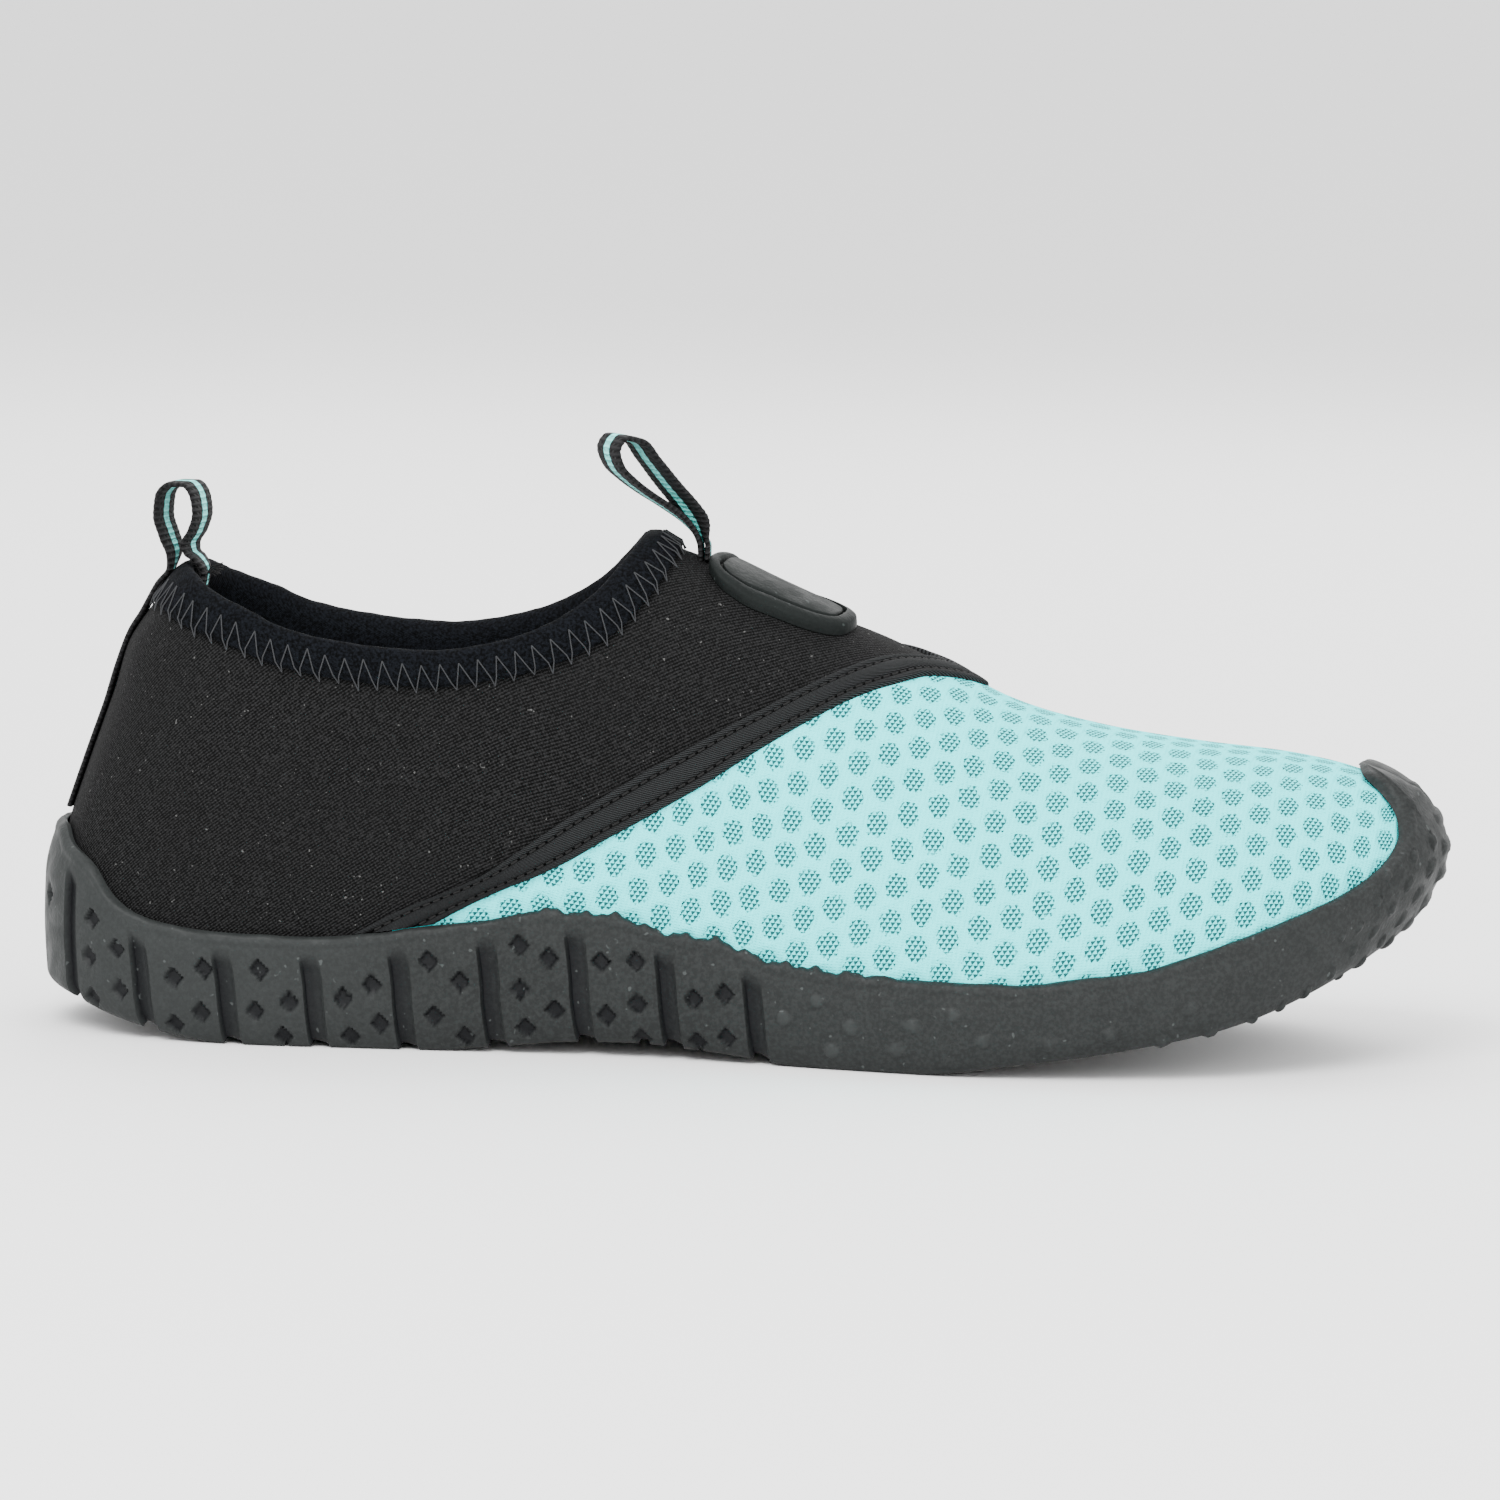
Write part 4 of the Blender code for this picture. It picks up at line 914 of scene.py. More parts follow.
def stitch_paths(line, start, rest, pitch):
    """Short stitches along a line, one every pitch, with a rest left bare at the end."""
    starts = np.arange(start, distances(line)[-1] - rest, pitch)
    return list(along_line(line, starts[:, None] + np.array((0.0, STITCH / 2, STITCH))))


def add_ribbon(name, route, widths, material):
    """Adds a woven tape along a route, with rounded edges that are scalloped by the weave."""
    angle = 2 * np.pi * np.arange(TAPE_SIDES + 1)[:, None] / TAPE_SIDES
    normal = unit(np.cross(unit(np.gradient(route, axis=0)), widths))
    walked = distances(route)
    share = np.sign(np.cos(angle)) * np.abs(np.cos(angle)) ** 0.45
    rise = np.sign(np.sin(angle)) * np.abs(np.sin(angle)) ** 0.6
    scallop = 1 + 0.030 * np.sin(walked / TAPE_RIB * 2 * np.pi) * np.abs(share) ** 6
    side = share * scallop * PULL_TAPE_WIDTH / 2
    points = route + widths * side[..., None] + normal * (rise * PULL_TAPE_THICKNESS / 2)[..., None]
    chart = np.stack((np.broadcast_to(walked, side.shape), side), axis=-1)
    ribbon = add_sheet(name, points, [material], chart)
    weld(ribbon, fill=True)
    return ribbon


def loop_widths(route, foot, rise, full_yaw):
    """Directions across a tape that lies straight at its foot and turns by a yaw as it rises."""
    yaw = full_yaw * ramp(0.0, 1.0, (route[:, 2] - foot) / rise)
    return np.stack((np.sin(yaw), np.cos(yaw), np.zeros(len(route))), axis=-1)


def heel_spot(drop, lift):
    """Point at the back of the heel, a drop below the collar's edge."""
    return last_point(0.0, around_at(0.0, collar_height(0.0, drop)), lift)


def heel_route():
    """The heel tape: up the back of the heel, round its loop and down inside the collar."""
    off = PULL_TAPE_THICKNESS / 2
    low = float(rim_height(0.0)) + HEEL_TAPE_START
    high = float(collar_height(0.0, 1.5 * BINDING_BAND))
    points = [last_point(0.0, around_at(0.0, height), off) for height in np.linspace(low, high, 6)]
    for drop, lift in ((1.05, 0.0002), (0.78, 0.0010), (0.50, 0.0020), (0.15, 0.0024)):
        points.append(heel_spot(drop * BINDING_BAND, off + lift))
    foot = heel_spot(-BINDING_TOP, 0.0)
    for forward, up in HEEL_LOOP:
        points.append(foot + HEEL_LOOP_HEIGHT * np.array((forward, 0.0, up)))
    inside = -(NEOPRENE + 2 * GAP + BINDING_INSIDE + off + PULL_TAPE_STAND)
    for drop in (0.0, 0.6, 1.2):
        points.append(heel_spot(drop * BINDING_BAND, inside))
    return smooth_route(points, HEEL_TAPE_POINTS)


def instep_route():
    """The instep loop, as it stands over the top of the badge."""
    back = PULL_TAPE_THICKNESS / 2 + GAP + math.sin(BADGE_TURN) * (PULL_TAPE_WIDTH / 2 + BADGE_OFFSET)
    foot = last_point(BADGE_START - back / LAST_LENGTH, 0.0, INSTEP_LOOP_STAND)
    rows = ((0.0, -0.075), *INSTEP_LOOP, (-0.050, -0.075))
    points = [foot + INSTEP_LOOP_LENGTH * np.array((forward, 0.0, up)) for forward, up in rows]
    return smooth_route(points, INSTEP_LOOP_POINTS), float(foot[2])


def on_badge(plan, lift):
    """Points over the instep in the badge's own turned plan: down from its top edge and aside."""
    down, aside = plan[..., 0], plan[..., 1]
    ahead = down * math.cos(BADGE_TURN) + aside * math.sin(BADGE_TURN)
    y = BADGE_OFFSET - down * math.sin(BADGE_TURN) + aside * math.cos(BADGE_TURN)
    along = BADGE_START + ahead / LAST_LENGTH
    half = BALL_WIDTH * half_width(along)
    around = np.arcsin(np.minimum(1.0, np.abs(y) / half) ** (squareness(along) / 2)) / RIGHT_ANGLE
    return last_point(along, np.copysign(around, y), lift)


def badge_outline(count):
    """Closed outline of the badge in its own plan, and the directions inwards."""
    down = eased(0.0, 1.0, 199)
    side = np.column_stack((BADGE_RUN * down, BADGE_WIDTH / 2 * shield_half(down)))
    whole = np.concatenate((((0.0, 0.0),), side, ((BADGE_RUN, 0.0),), side[::-1] * (1, -1), ((0.0, 0.0),)))
    edge = even(whole, count)[:-1]
    for _ in range(6):
        edge = (np.roll(edge, 1, 0) + 2 * edge + np.roll(edge, -1, 0)) / 4
    run = unit(np.roll(edge, -1, 0) - np.roll(edge, 1, 0))
    return edge, np.column_stack((run[:, 1], -run[:, 0]))


def sole_columns():
    """Places along the last for each side, and distances from the heel, with columns at each groove."""
    before, after = GROOVE_COLUMNS[0], GROOVE_COLUMNS[-1]
    walk = list(np.linspace(0, FIRST_GROOVE + before, 26)[:-1])
    for number in range(GROOVES + FOREFOOT_CHANNELS):
        centre = FIRST_GROOVE + GROOVE_PITCH * number
        walk += [centre + step for step in GROOVE_COLUMNS]
        steps = 29 if number < GROOVES else 12
        walk += list(centre + np.linspace(after, GROOVE_PITCH + before, steps)[1:-1])
    walk = np.array(walk)
    fine = np.linspace(0, 1, 4001)
    rest = 1 - (1 - np.linspace(0, 1, 150)[1:]) ** 1.3
    places = {}
    for side in (1, -1):
        walked = distances(np.stack(outline(fine, side, GAP + RUBBER_WALL), axis=-1))
        near = np.interp(walk, walked, fine)
        places[side] = np.concatenate((near, near[-1] + (1 - near[-1]) * rest))
    return places, np.concatenate((walk, walk[-1] + (walked[-1] - walk[-1]) * rest))


def groove_offset(distance, first=0, count=GROOVES):
    """Distance past the middle of the nearest groove, counted from the heel."""
    number = np.clip(np.rint((distance - FIRST_GROOVE) / GROOVE_PITCH), first, first + count - 1)
    return distance - FIRST_GROOVE - GROOVE_PITCH * number


def groove_mask(distance, first=0, count=GROOVES):
    """How deep the sole is cut at a distance from the heel, from 0 to 1: steep behind and sloped ahead."""
    off = groove_offset(distance, first, count)
    sides = 1 - ramp(GROOVE_WIDTH / 2 - 0.00025, GROOVE_WIDTH / 2 + 0.00030, np.abs(off))
    return sides * (1 - 0.45 * ramp(-GROOVE_WIDTH / 4, GROOVE_WIDTH / 2, off))


def rubber_edge(along):
    """Height of the rubber's upper edge, which is wavy at the waist where it was trimmed by hand."""
    waist = ramp(0.33, 0.38, along) * (1 - ramp(0.57, 0.64, along))
    wave = np.sin(262 * along) + 0.6 * np.sin(610 * along + 1.0) + 0.4 * np.sin(137 * along + 2.0)
    return rim_height(along) + 0.00042 * waist * wave


def wall_places(base, distance, share):
    """Places along the last of the cup's wall, whose columns lean with the grooves."""
    start = ramp(FIRST_GROOVE - 0.5 * GROOVE_PITCH, FIRST_GROOVE + 2 * GROOVE_PITCH, distance)
    end = ramp(FIRST_GROOVE + GROOVES * GROOVE_PITCH, FIRST_GROOVE + (GROOVES + 2) * GROOVE_PITCH, distance)
    slant = math.tan(GROOVE_LEAN) * start * (1 - end)
    rise = rim_height(base) - tread_height(base)
    return np.clip(base + slant * rise * (0.5 - share) / LAST_LENGTH, 0.0, 1.0)


def sole_wall(side, base, distance):
    """The wall's outer face, from the tread's edge up to the rim, with its places, rim, and the painted shade
    of its recesses and wear of its nubs.
    """
    share = np.linspace(0, 1, WALL_ROWS + 1)[:, None]
    along = wall_places(base, distance, share)
    rim = np.where(along < BUMPER_BACK, around_at(along, rubber_edge(along)), 0.0)
    foot = np.interp(distance, (0.030, 0.110), (0.30, 0.46))
    up = np.clip((share - foot) / (1 - foot), 0.0, 1.0)
    wall = RUBBER_WALL + (RUBBER_RIM - RUBBER_WALL) * up ** 3
    edge = ramp(0.955, 1.0, up) * RIM_ROUND + ramp(0.90, 0.985, along) * ramp(0.75, 1.0, up) * RIM_ROUND
    upper = section_point(along, side * (1 - (1 - rim) * up), GAP + wall - edge)
    heel, toe = end_turn(along)
    bed = section_point(along, side * 1.0, GAP + RUBBER_WALL)
    tread = tread_height(along)
    middle = BALL_WIDTH * centre_line(along) - CENTRE_Y
    low = np.clip(share / foot, 0.0, 1.0)
    inset = TREAD_EDGE * (1 - low) ** 2.4
    height = tread + (bed[..., 2] - tread) * low ** 1.5
    half = np.maximum(0.0, np.abs(bed[..., 1] - middle) - inset * sideways(along))
    shift = inset * (heel - toe) + lean(along, height) - lean(along, bed[..., 2])
    lower = np.stack((bed[..., 0] + shift, middle + side * half, height), axis=-1)
    points = np.where((share < foot)[..., None], lower, upper)
    depth, painted_shade_and_wear = sole_relief(distance[None], share, along, points[..., 2])
    return points + outward(points, side) * depth[..., None], along, rim[-1], painted_shade_and_wear


def outward(points, side):
    """Directions out of a wall's face."""
    normal = np.cross(np.gradient(points, axis=1), np.gradient(points, axis=0)) * -side
    normal = normal / np.maximum(np.linalg.norm(normal, axis=-1)[..., None], 1e-12)
    return normal * np.where(normal[..., [1]] * side < -0.3, -1.0, 1.0)


def sole_relief(distance, share, along, height):
    """Height of the sole's side pattern over its wall, and where its recesses are, for their painted shade,
    and its worn nubs.
    """
    rim = rim_height(along)
    groove = groove_mask(distance) * (1 - ramp(-0.0026, 0.0018, height - rim + 0.0040))
    depth = -GROOVE_DEPTH * groove
    # Painted shade: the grooves are darkened, most of all along their back edge, where the steep wall is in
    # shadow.
    behind = ramp(-0.0002, 0.0008, groove_offset(distance) + GROOVE_WIDTH / 2)
    painted_shade_and_wear = groove * (0.72 + 0.28 * (1 - behind))
    # Painted shade in the diamond recesses too.
    for place, level in np.array(DIAMONDS) / 1000:
        off = np.abs(distance - place) / DIAMOND_LENGTH + np.abs(height - level) / DIAMOND_HEIGHT
        cut = 1 - ramp(0.84, 1.08, off)
        depth = depth - DIAMOND_DEPTH * cut
        painted_shade_and_wear = np.maximum(painted_shade_and_wear, 0.8 * cut)
    for place, level, size in np.array(NUBS) / 1000:
        worn = 1 - ramp(0.66, 1.0, np.hypot(distance - place, height - level) / size)
        depth = depth + NUB_HEIGHT * worn
        painted_shade_and_wear = painted_shade_and_wear - 0.6 * worn
    for place, level, size in np.array(TOE_NUBS) / 1000:
        off = np.hypot(distance - place, height - level) / size
        depth = depth + 0.50 * size * np.sqrt(np.clip(1 - off * off, 0.0, 1.0))
        painted_shade_and_wear = painted_shade_and_wear - 0.35 * (1 - ramp(0.2, 1.0, off))
    roll = ramp(0.0022, 0.0012, rim - height) * ramp(0.0, 0.0006, rim - height)
    wave = 0.00018 * np.sin(distance / 0.0127 * 2 * np.pi + 1.3) * np.sin(distance / 0.0291 * 2 * np.pi)
    return depth + 0.00022 * roll + wave * ramp(0.9, 1.0, share), painted_shade_and_wear


def colour_property(name, description, default):
    return bpy.props.FloatVectorProperty(
        name=name, description=description, subtype="COLOR", size=3, min=0.0, max=1.0, default=default)


def length_property(name, description, default):
    return bpy.props.FloatProperty(name=name, description=description, unit="LENGTH", default=default)


class ShoeColours(bpy.types.PropertyGroup):
    """Colours of the cloths and the rubber."""

    neoprene: colour_property("Neoprene", "Jersey over the neoprene of the heel", (0.0043, 0.0043, 0.0044))
    lint: colour_property("Lint", "Specks of lint on the neoprene", (0.16, 0.16, 0.155))
    mesh: colour_property("Mesh", "Spacer mesh of the vamp", (0.050, 0.90, 0.92))
    mark: colour_property("Marks", "Open triangles in the mesh's dots", (0.0, 0.070, 0.074))
    rubber: colour_property("Rubber", "Moulded rubber of the sole", (0.0116, 0.0130, 0.0128))
    badge: colour_property("Badge", "Soft rubber of the badge", (0.0090, 0.0108, 0.0104))
    binding: colour_property("Binding", "Jersey folded over the collar's edge", (0.0020, 0.0024, 0.0033))
    twill: colour_property("Seam tape", "Twill over the seam", (0.0098, 0.0104, 0.0108))
    tape: colour_property("Pull tape", "Black of the two pull loops", (0.0044, 0.0044, 0.0048))
    stripe: colour_property("Stripe", "Stripe of the two pull loops", (0.22, 0.80, 0.76))
    thread: colour_property("Collar thread", "Zigzag stitch of the collar", (0.024, 0.025, 0.027))
    lining: colour_property("Insole", "Cloth of the insole", linear(40, 41, 43))


class ShoeSizes(bpy.types.PropertyGroup):
    """Sizes of the stitches and of the cloths' patterns."""

    dot_width: length_property("Dot width", "Width of a dot of the mesh, along the shoe", 0.0043)
    dot_height: length_property("Dot height", "Height of a dot of the mesh", 0.0050)
    stripe_width: length_property("Stripe width", "Width of the stripe on the pull tapes", 0.0026)
    zigzag_pitch: length_property("Zigzag length", "Length of one zigzag stitch", 0.0036)
    zigzag_top: length_property("Zigzag top", "Depth of its upper points under the collar's edge", 0.0016)
    zigzag_foot: length_property("Zigzag foot", "Depth of its lower points", 0.0056)
    thread: length_property("Thread", "Radius of the sewing thread", 0.00013)


class SHOE_OT_upper(bpy.types.Operator):
    """Lays the neoprene quarter and the mesh vamp on the last and gives them their wall"""

    bl_idname = "shoe.upper"
    bl_label = "Upper"

    def execute(self, context):
        colours = context.scene.shoe_colours
        sizes = context.scene.shoe_sizes
        materials = [neoprene_finish(tuple(colours.neoprene), tuple(colours.lint)),
                     mesh_finish(tuple(colours.mesh), tuple(colours.mark), sizes.dot_width, sizes.dot_height)]
        upper = join([upper_sheet(side, materials) for side in (-1, 1)], "upper_shell")
        weld(upper, distance=1e-5)
        wall = upper.modifiers.new("Wall", "SOLIDIFY")
        wall.thickness = NEOPRENE
        wall.offset = -1.0
        bpy.ops.object.modifier_apply(modifier=wall.name)
        finish_piece(upper, 60, ["upper"])
        return {"FINISHED"}


class SHOE_OT_sole(bpy.types.Operator):
    """Moulds the cup sole with its side grooves, recesses, nubs and tread channels"""

    bl_idname = "shoe.sole"
    bl_label = "Sole"

    def execute(self, context):
        materials = [rubber_finish("Moulded_rubber", tuple(context.scene.shoe_colours.rubber))]
        columns, distance = sole_columns()
        walls = {}
        linings = {}
        parts = []
        for side in (-1, 1):
            wall, along, rim, painted_shade_and_wear = sole_wall(side, columns[side], distance)
            chart = np.stack((np.broadcast_to(distance, along.shape), wall[..., 2]), axis=-1)
            parts.append(add_sheet("sole_side", wall, materials, chart, painted_shade_and_wear))
            lining = [wall[-1], section_point(along[-1], side * rim, GAP + RUBBER_RIM * 0.12)]
            for down in (0.25, 0.5, 0.75, 1.0):
                lining.append(section_point(along[-1], side * (rim + (1 - rim) * down), GAP))
            parts.append(add_sheet("sole_lining", np.array(lining), materials))
            walls[side] = wall
            linings[side] = lining
        share = np.linspace(0, 1, TREAD_ROWS + 1)[:, None, None]
        tread = walls[-1][0] * (1 - share) + walls[1][0] * share
        inset = np.minimum(share, 1 - share)[..., 0]
        cut = groove_mask(distance, 1, GROOVES - 1)[None] * np.ones_like(inset)
        forefoot = groove_mask(distance, GROOVES, FOREFOOT_CHANNELS)[None] * ramp(0.10, 0.15, inset)
        tread[..., 2] += CHANNEL_DEPTH * np.maximum(cut, forefoot) * ramp(0.0, 0.04, inset)
        bed = linings[-1][-1] * (1 - share) + linings[1][-1] * share
        for sheet in (tread, bed):
            parts.append(add_sheet("sole_floor", sheet, materials, sheet[..., :2]))
        sole = join(parts, "rubber_sole")
        weld(sole, distance=1e-5)
        finish_piece(sole, 45, ["outsole"])
        return {"FINISHED"}


class SHOE_OT_insole(bpy.types.Operator):
    """Covers the insole with dark cloth"""

    bl_idname = "shoe.insole"
    bl_label = "Insole"

    def execute(self, context):
        colour = tuple(context.scene.shoe_colours.lining)
        cloth = grain_finish("Insole_cloth", colour, 0.92, 0.12, (900, 3, 0.7), 1.5, 0.00020)
        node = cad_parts["insole"]
        node.data.materials.clear()
        node.data.materials.append(cloth)
        return {"FINISHED"}


class SHOE_OT_collar(bpy.types.Operator):
    """Folds the binding over the collar's edge and sews it down with a zigzag"""

    bl_idname = "shoe.collar"
    bl_label = "Collar"

    def execute(self, context):
        colours = context.scene.shoe_colours
        inside = [(drop, -NEOPRENE - lift) for drop, lift in reversed(COLLAR_FOLD)]
        fold = np.array((*COLLAR_FOLD, (-0.0026, -NEOPRENE / 2), *inside, *COLLAR_SEAT))
        rings = collar_ring(fold[:, 0], fold[:, 1])
        steps = distances(rings, 1)
        chart = np.stack((steps, distances(rings)), axis=-1)
        ripple = 0.00010 * np.sin(steps / 0.0061 * 2 * np.pi) * np.sin(steps / 0.0173 * 2 * np.pi + 1.0)
        ripple[0] = 0.0
        ripple[len(COLLAR_FOLD) - 1:] = 0.0
        rings = rings + unit(rings - collar_ring(fold[:, 0], fold[:, 1] - 0.001)) * ripple[..., None]
        rings[:, -1] = rings[:, 0]
        binding = add_sheet("collar_fold", rings, [jersey_finish(tuple(colours.binding))], chart)
        weld(binding)
        finish_piece(binding, 70, ["collar_binding"])
        self.sew(context.scene.shoe_sizes, grain_finish("Grey_thread", tuple(colours.thread)))
        return {"FINISHED"}

    def sew(self, sizes, thread):
        """Zigzag round the outside of the collar, and its small points inside."""
        foot = collar_ring(sizes.zigzag_foot, 0.00035)
        points = 2 * int(round(distances(foot)[-1] / sizes.zigzag_pitch))
        foot = even(foot, points)
        top = even(collar_ring(sizes.zigzag_top, 0.00250), points)
        edge = even(collar_ring(0.0047, 0.00165), 10 * points)
        random = np.random.default_rng(3)
        for line in (top, foot):
            line[1:-1] += random.normal(0.0, 0.00014, line[1:-1].shape) * (1, 0.3, 1.3)
        paths = []
        for number in range(0, points, 2):
            paths.append([top[number], edge[10 * number + 7], foot[number + 1]])
            paths.append([foot[number + 1], edge[10 * number + 13], top[number + 2]])
        spots = even(collar_ring(0.0036, -NEOPRENE - 0.00185), points)
        for number in range(0, points - 1, 2):
            paths.append([spots[number], spots[number] * 0.6 + spots[number + 1] * 0.4])
        add_threads("collar_zigzag", paths, sizes.thread, thread)


class SHOE_OT_seam(bpy.types.Operator):
    """Lays the tape over the seam between neoprene and mesh and sews its two rows"""

    bl_idname = "shoe.seam"
    bl_label = "Seam tape"

    def execute(self, context):
        share, lift = np.array(SEAM_PROFILE).T
        points = self.point(np.arange(SEAM_COLUMNS + 1), share[:, None], lift[:, None] * SEAM_THICKNESS)
        chart = np.stack((distances(points, 1), distances(points)), axis=-1)
        # How deep each row lies in a furrow of the seams, for the twill's painted shade.
        furrow = np.clip(1.3 - np.abs(np.abs(share) - SEAM_FURROW) / 0.11, 0.0, 1.0)
        furrow = np.repeat(furrow[:, None], SEAM_COLUMNS + 1, 1)
        twill = twill_finish(tuple(context.scene.shoe_colours.twill))
        tape = add_sheet("seam_cover", points, [twill], chart, furrow)
        weld(tape, fill=True)
        finish_piece(tape, 60, ["seam_tape"])
        paths = []
        for share in (-SEAM_FURROW, SEAM_FURROW):
            line = self.point(np.arange(0, SEAM_COLUMNS + 0.01, 0.1), share, SEAM_STITCH_LIFT)
            paths += stitch_paths(line, 0.001, 0.003, SEAM_STITCH_PITCH)
        thread = grain_finish("Black_thread", linear(14, 14, 14))
        add_threads("seam_stitches", paths, SEAM_THREAD, thread)
        return {"FINISHED"}

    def point(self, column, share, lift):
        """Points of the tape, in even columns from rim to rim over the instep."""
        around = self.end(share) * (2 * column / SEAM_COLUMNS - 1)
        return last_point(seam_along(np.abs(around), share), around, LAID_GAP * 0.4 + lift)

    def end(self, share):
        """Place around the shoe where a line on the tape goes under the sole's rim."""
        low = np.full(np.shape(share), 0.71)
        high = np.full(np.shape(share), 1.0)
        for _ in range(30):
            middle = (low + high) / 2
            along = seam_along(middle, share)
            shows = last_point(along, middle)[..., 2] > rim_height(along) + 0.0002
            low, high = np.where(shows, middle, low), np.where(shows, high, middle)
        return low


class SHOE_OT_heel_tape(bpy.types.Operator):
    """Runs the striped tape up the heel seam and turns it into a finger loop"""

    bl_idname = "shoe.heel_tape"
    bl_label = "Heel tape"

    def execute(self, context):
        colours = context.scene.shoe_colours
        route = heel_route()
        widths = loop_widths(route, float(collar_height(0.0)), 0.4 * HEEL_LOOP_HEIGHT, HEEL_LOOP_YAW)
        width = context.scene.shoe_sizes.stripe_width
        material = stripe_finish(tuple(colours.tape), tuple(colours.stripe), width)
        tape = add_ribbon("heel_tape", route, widths, material)
        finish_piece(tape, 70, ["heel_pull_tape"])
        near = int(len(route) * HEEL_TAPE_CUT)
        self.fray(route[near], widths[near], grain_finish("Frayed_thread", tuple(colours.tape)))
        return {"FINISHED"}

    def fray(self, spot, width, thread):
        """Loose threads where the tape's cut edge shows over the inside of the collar."""
        random = np.random.default_rng(5)
        paths = []
        for _ in range(34):
            start = spot + width * random.uniform(-0.0046, 0.0046) + (0.0008, 0, 0)
            reach = random.uniform(0.0008, 0.0024)
            tip = start + np.array((reach, random.uniform(-0.0006, 0.0006), random.uniform(-0.0006, 0.0018)))
            paths.append([start, (start + tip) / 2 + (0, 0, 0.0004), tip])
        add_threads("frayed_end", paths, 0.00012, thread, 1)


class SHOE_OT_instep_loop(bpy.types.Operator):
    """Folds the striped tape into the loop that stands over the badge"""

    bl_idname = "shoe.instep_loop"
    bl_label = "Instep loop"

    def execute(self, context):
        route, foot = instep_route()
        yaw = np.linspace(*INSTEP_LOOP_YAWS, len(route))
        widths = loop_widths(route, foot, 0.3 * INSTEP_LOOP_LENGTH, yaw)
        loop = add_ribbon("instep_loop", route, widths, bpy.data.materials["Striped_tape"])
        finish_piece(loop, 70, ["instep_pull_loop"])
        return {"FINISHED"}


class SHOE_OT_badge(bpy.types.Operator):
    """Moulds the bare rubber shield with its raised rim and sews it on through its groove"""

    bl_idname = "shoe.badge"
    bl_label = "Badge"

    def execute(self, context):
        edge, inward = badge_outline(BADGE_POINTS)
        plan = [edge + inward * inset for inset, _ in BADGE_PROFILE]
        field = plan[-1]
        middle = field.mean(axis=0)
        plan += [field + (middle - field) * step / BADGE_RINGS for step in range(1, BADGE_RINGS + 1)]
        plan = closed(np.array(plan), 1)
        lifts = [lift for _, lift in BADGE_PROFILE] + [BADGE_PROFILE[-1][1]] * BADGE_RINGS
        points = on_badge(plan, np.array(lifts)[:, None])
        material = rubber_finish("Badge_rubber", tuple(context.scene.shoe_colours.badge), 0.50, 0.05, 0.12)
        badge = add_sheet("instep_badge", points, [material], plan)
        weld(badge, fill=True)
        finish_piece(badge, 40, ["badge"])
        line = on_badge(closed(edge + inward * BADGE_GROOVE), BADGE_STITCH_LIFT)
        paths = stitch_paths(line, 0.0, 0.002, BADGE_STITCH_PITCH)
        thread = grain_finish("Badge_thread", linear(12, 12, 12))
        add_threads("badge_stitches", paths, BADGE_THREAD, thread)
        return {"FINISHED"}


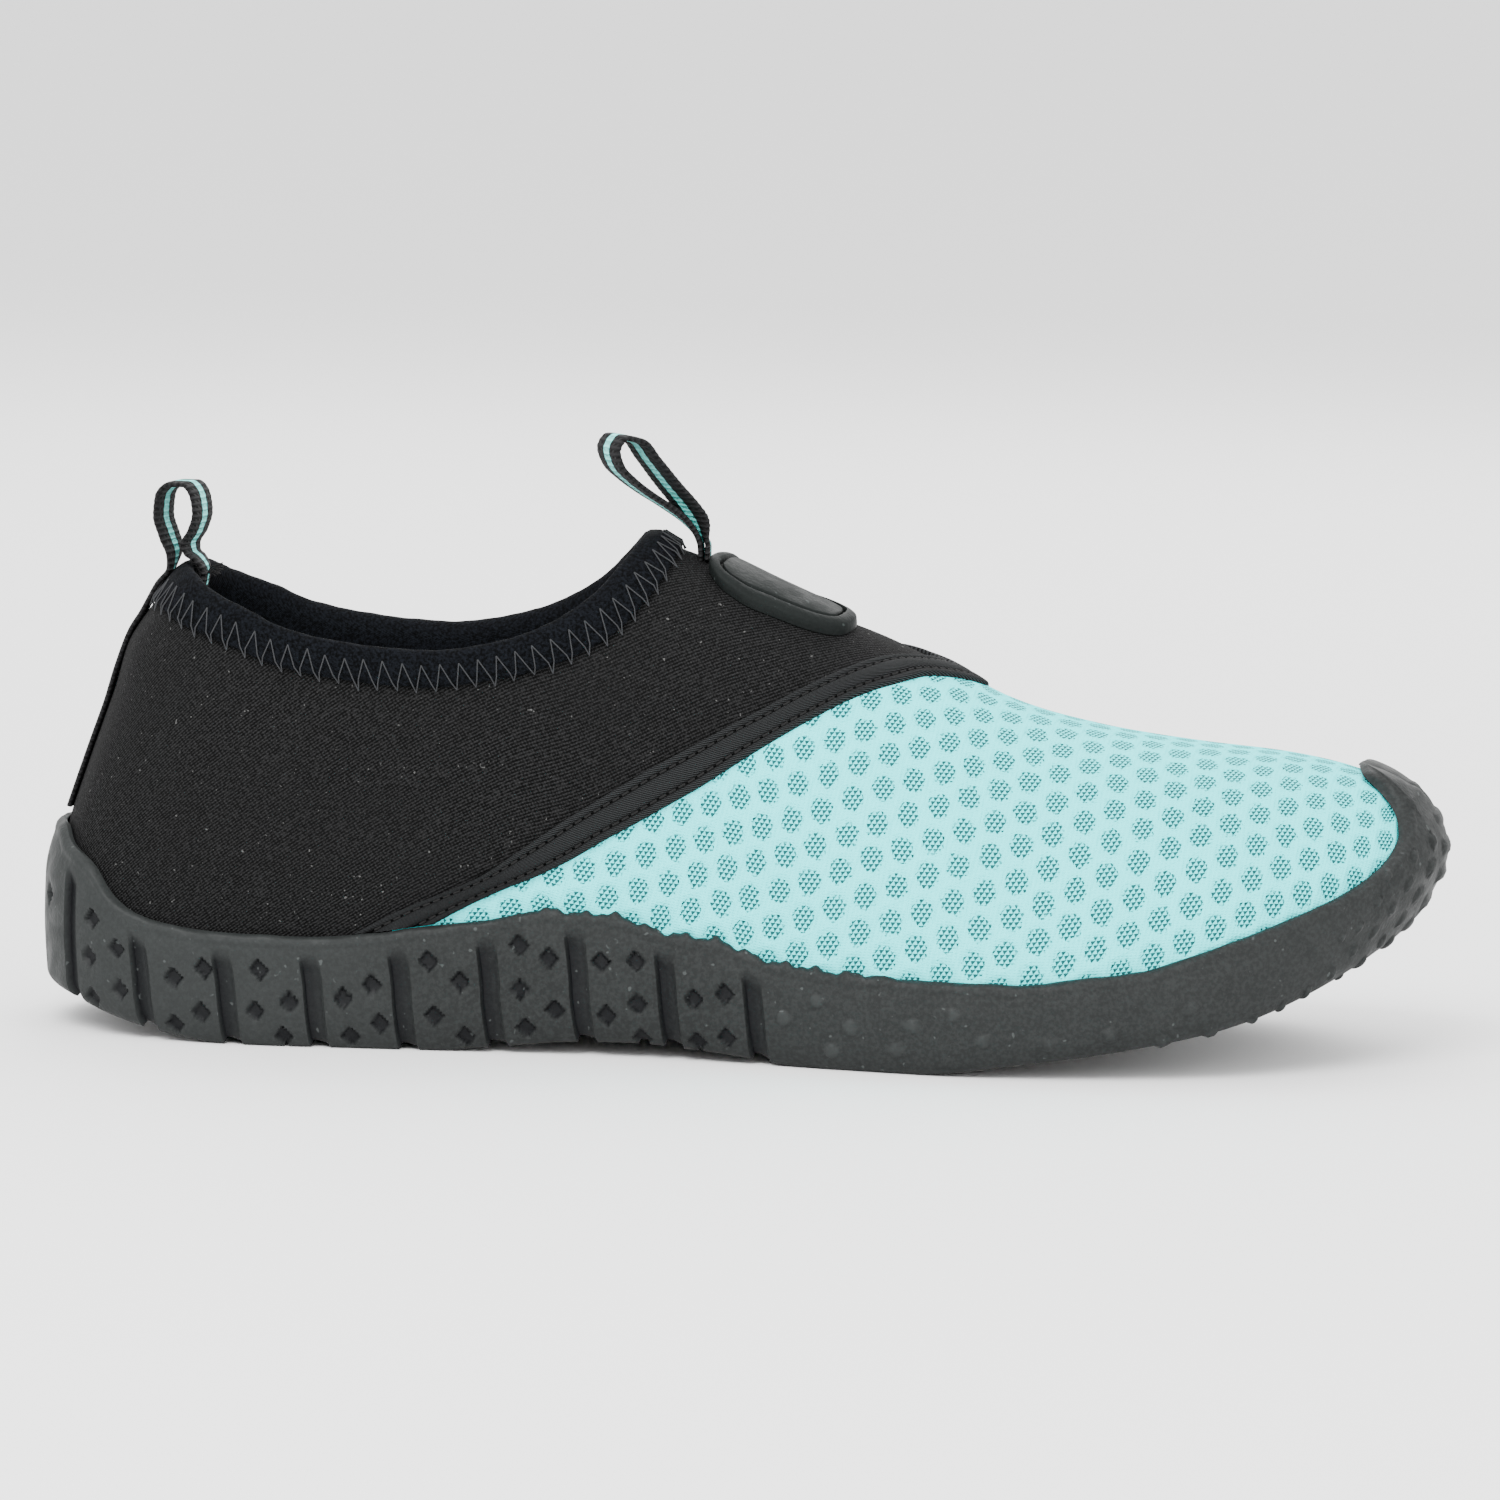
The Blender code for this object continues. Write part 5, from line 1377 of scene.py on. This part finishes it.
class SHOE_OT_stage(bpy.types.Operator):
    """Sets the pale floor, the soft studio lights and the camera"""

    bl_idname = "shoe.stage"
    bl_label = "Stage"

    def execute(self, context):
        deselect()
        bpy.ops.mesh.primitive_plane_add(size=60, location=(0, 0, -0.0001))
        floor = bpy.context.object
        floor.name = "floor"
        floor.data.materials.append(Finish("Pale_floor", (0.90, 0.90, 0.90), 0.9).material)
        world = bpy.data.worlds.new("Studio")
        world.use_nodes = True
        sky = world.node_tree.nodes["Background"].inputs
        sky["Color"].default_value = (1.0, 1.0, 1.0, 1.0)
        sky["Strength"].default_value = SKY_STRENGTH
        context.scene.world = world
        for name, spot, size, power in LIGHTS:
            bpy.ops.object.light_add(type="AREA", location=spot)
            light = bpy.context.object
            light.name = name
            light.data.size = size
            light.data.energy = power
            light.rotation_euler = (Vector(LIGHTS_AIM) - Vector(spot)).to_track_quat("-Z", "Y").to_euler()
        self.camera(context)
        return {"FINISHED"}

    def camera(self, context):
        """A long lens a little above the shoe, turned a little to the toe and rolled."""
        level = Vector((math.cos(CAMERA_TURNED), math.sin(CAMERA_TURNED), 0))
        ahead = Vector((math.sin(CAMERA_TURNED), -math.cos(CAMERA_TURNED), 0))
        back = ahead * math.cos(CAMERA_RAISED) + Vector((0, 0, math.sin(CAMERA_RAISED)))
        upright = back.cross(level)
        right = level * math.cos(CAMERA_ROLLED) + upright * math.sin(CAMERA_ROLLED)
        up = upright * math.cos(CAMERA_ROLLED) - level * math.sin(CAMERA_ROLLED)
        spot = Vector((0.0, -CENTRE_Y, CAMERA_AIM)) + back * CAMERA_AWAY
        bpy.ops.object.camera_add(location=spot)
        camera = bpy.context.object
        camera.matrix_world = Matrix.Translation(spot) @ Matrix((right, up, back)).transposed().to_4x4()
        camera.data.sensor_width = 36.0
        camera.data.lens = CAMERA_LENS
        camera.data.shift_x, camera.data.shift_y = CAMERA_SHIFT
        context.scene.camera = camera


OPERATORS = (SHOE_OT_upper, SHOE_OT_sole, SHOE_OT_insole, SHOE_OT_collar, SHOE_OT_seam, SHOE_OT_heel_tape,
             SHOE_OT_instep_loop, SHOE_OT_badge, SHOE_OT_stage)


class SHOE_PT_panel(bpy.types.Panel):
    """Lists the pieces of the shoe in the sidebar"""

    bl_label = "Water shoe"
    bl_space_type = "VIEW_3D"
    bl_region_type = "UI"
    bl_category = "Shoe"

    def draw(self, context):
        for operator in OPERATORS:
            self.layout.operator(operator.bl_idname)
        for group in (context.scene.shoe_sizes, context.scene.shoe_colours):
            for name in group.bl_rna.properties.keys():
                if name not in ("rna_type", "name"):
                    self.layout.prop(group, name)


CLASSES = (ShoeColours, ShoeSizes, *OPERATORS, SHOE_PT_panel)


def register():
    for item in CLASSES:
        bpy.utils.register_class(item)
    bpy.types.Scene.shoe_colours = bpy.props.PointerProperty(type=ShoeColours)
    bpy.types.Scene.shoe_sizes = bpy.props.PointerProperty(type=ShoeSizes)


def unregister():
    del bpy.types.Scene.shoe_sizes
    del bpy.types.Scene.shoe_colours
    for item in reversed(CLASSES):
        bpy.utils.unregister_class(item)


def main():
    register()
    bpy.ops.shoe.upper()
    bpy.ops.shoe.sole()
    bpy.ops.shoe.insole()
    bpy.ops.shoe.collar()
    bpy.ops.shoe.seam()
    bpy.ops.shoe.heel_tape()
    bpy.ops.shoe.instep_loop()
    bpy.ops.shoe.badge()
    bpy.ops.shoe.stage()


if __name__ == "__main__":
    main()
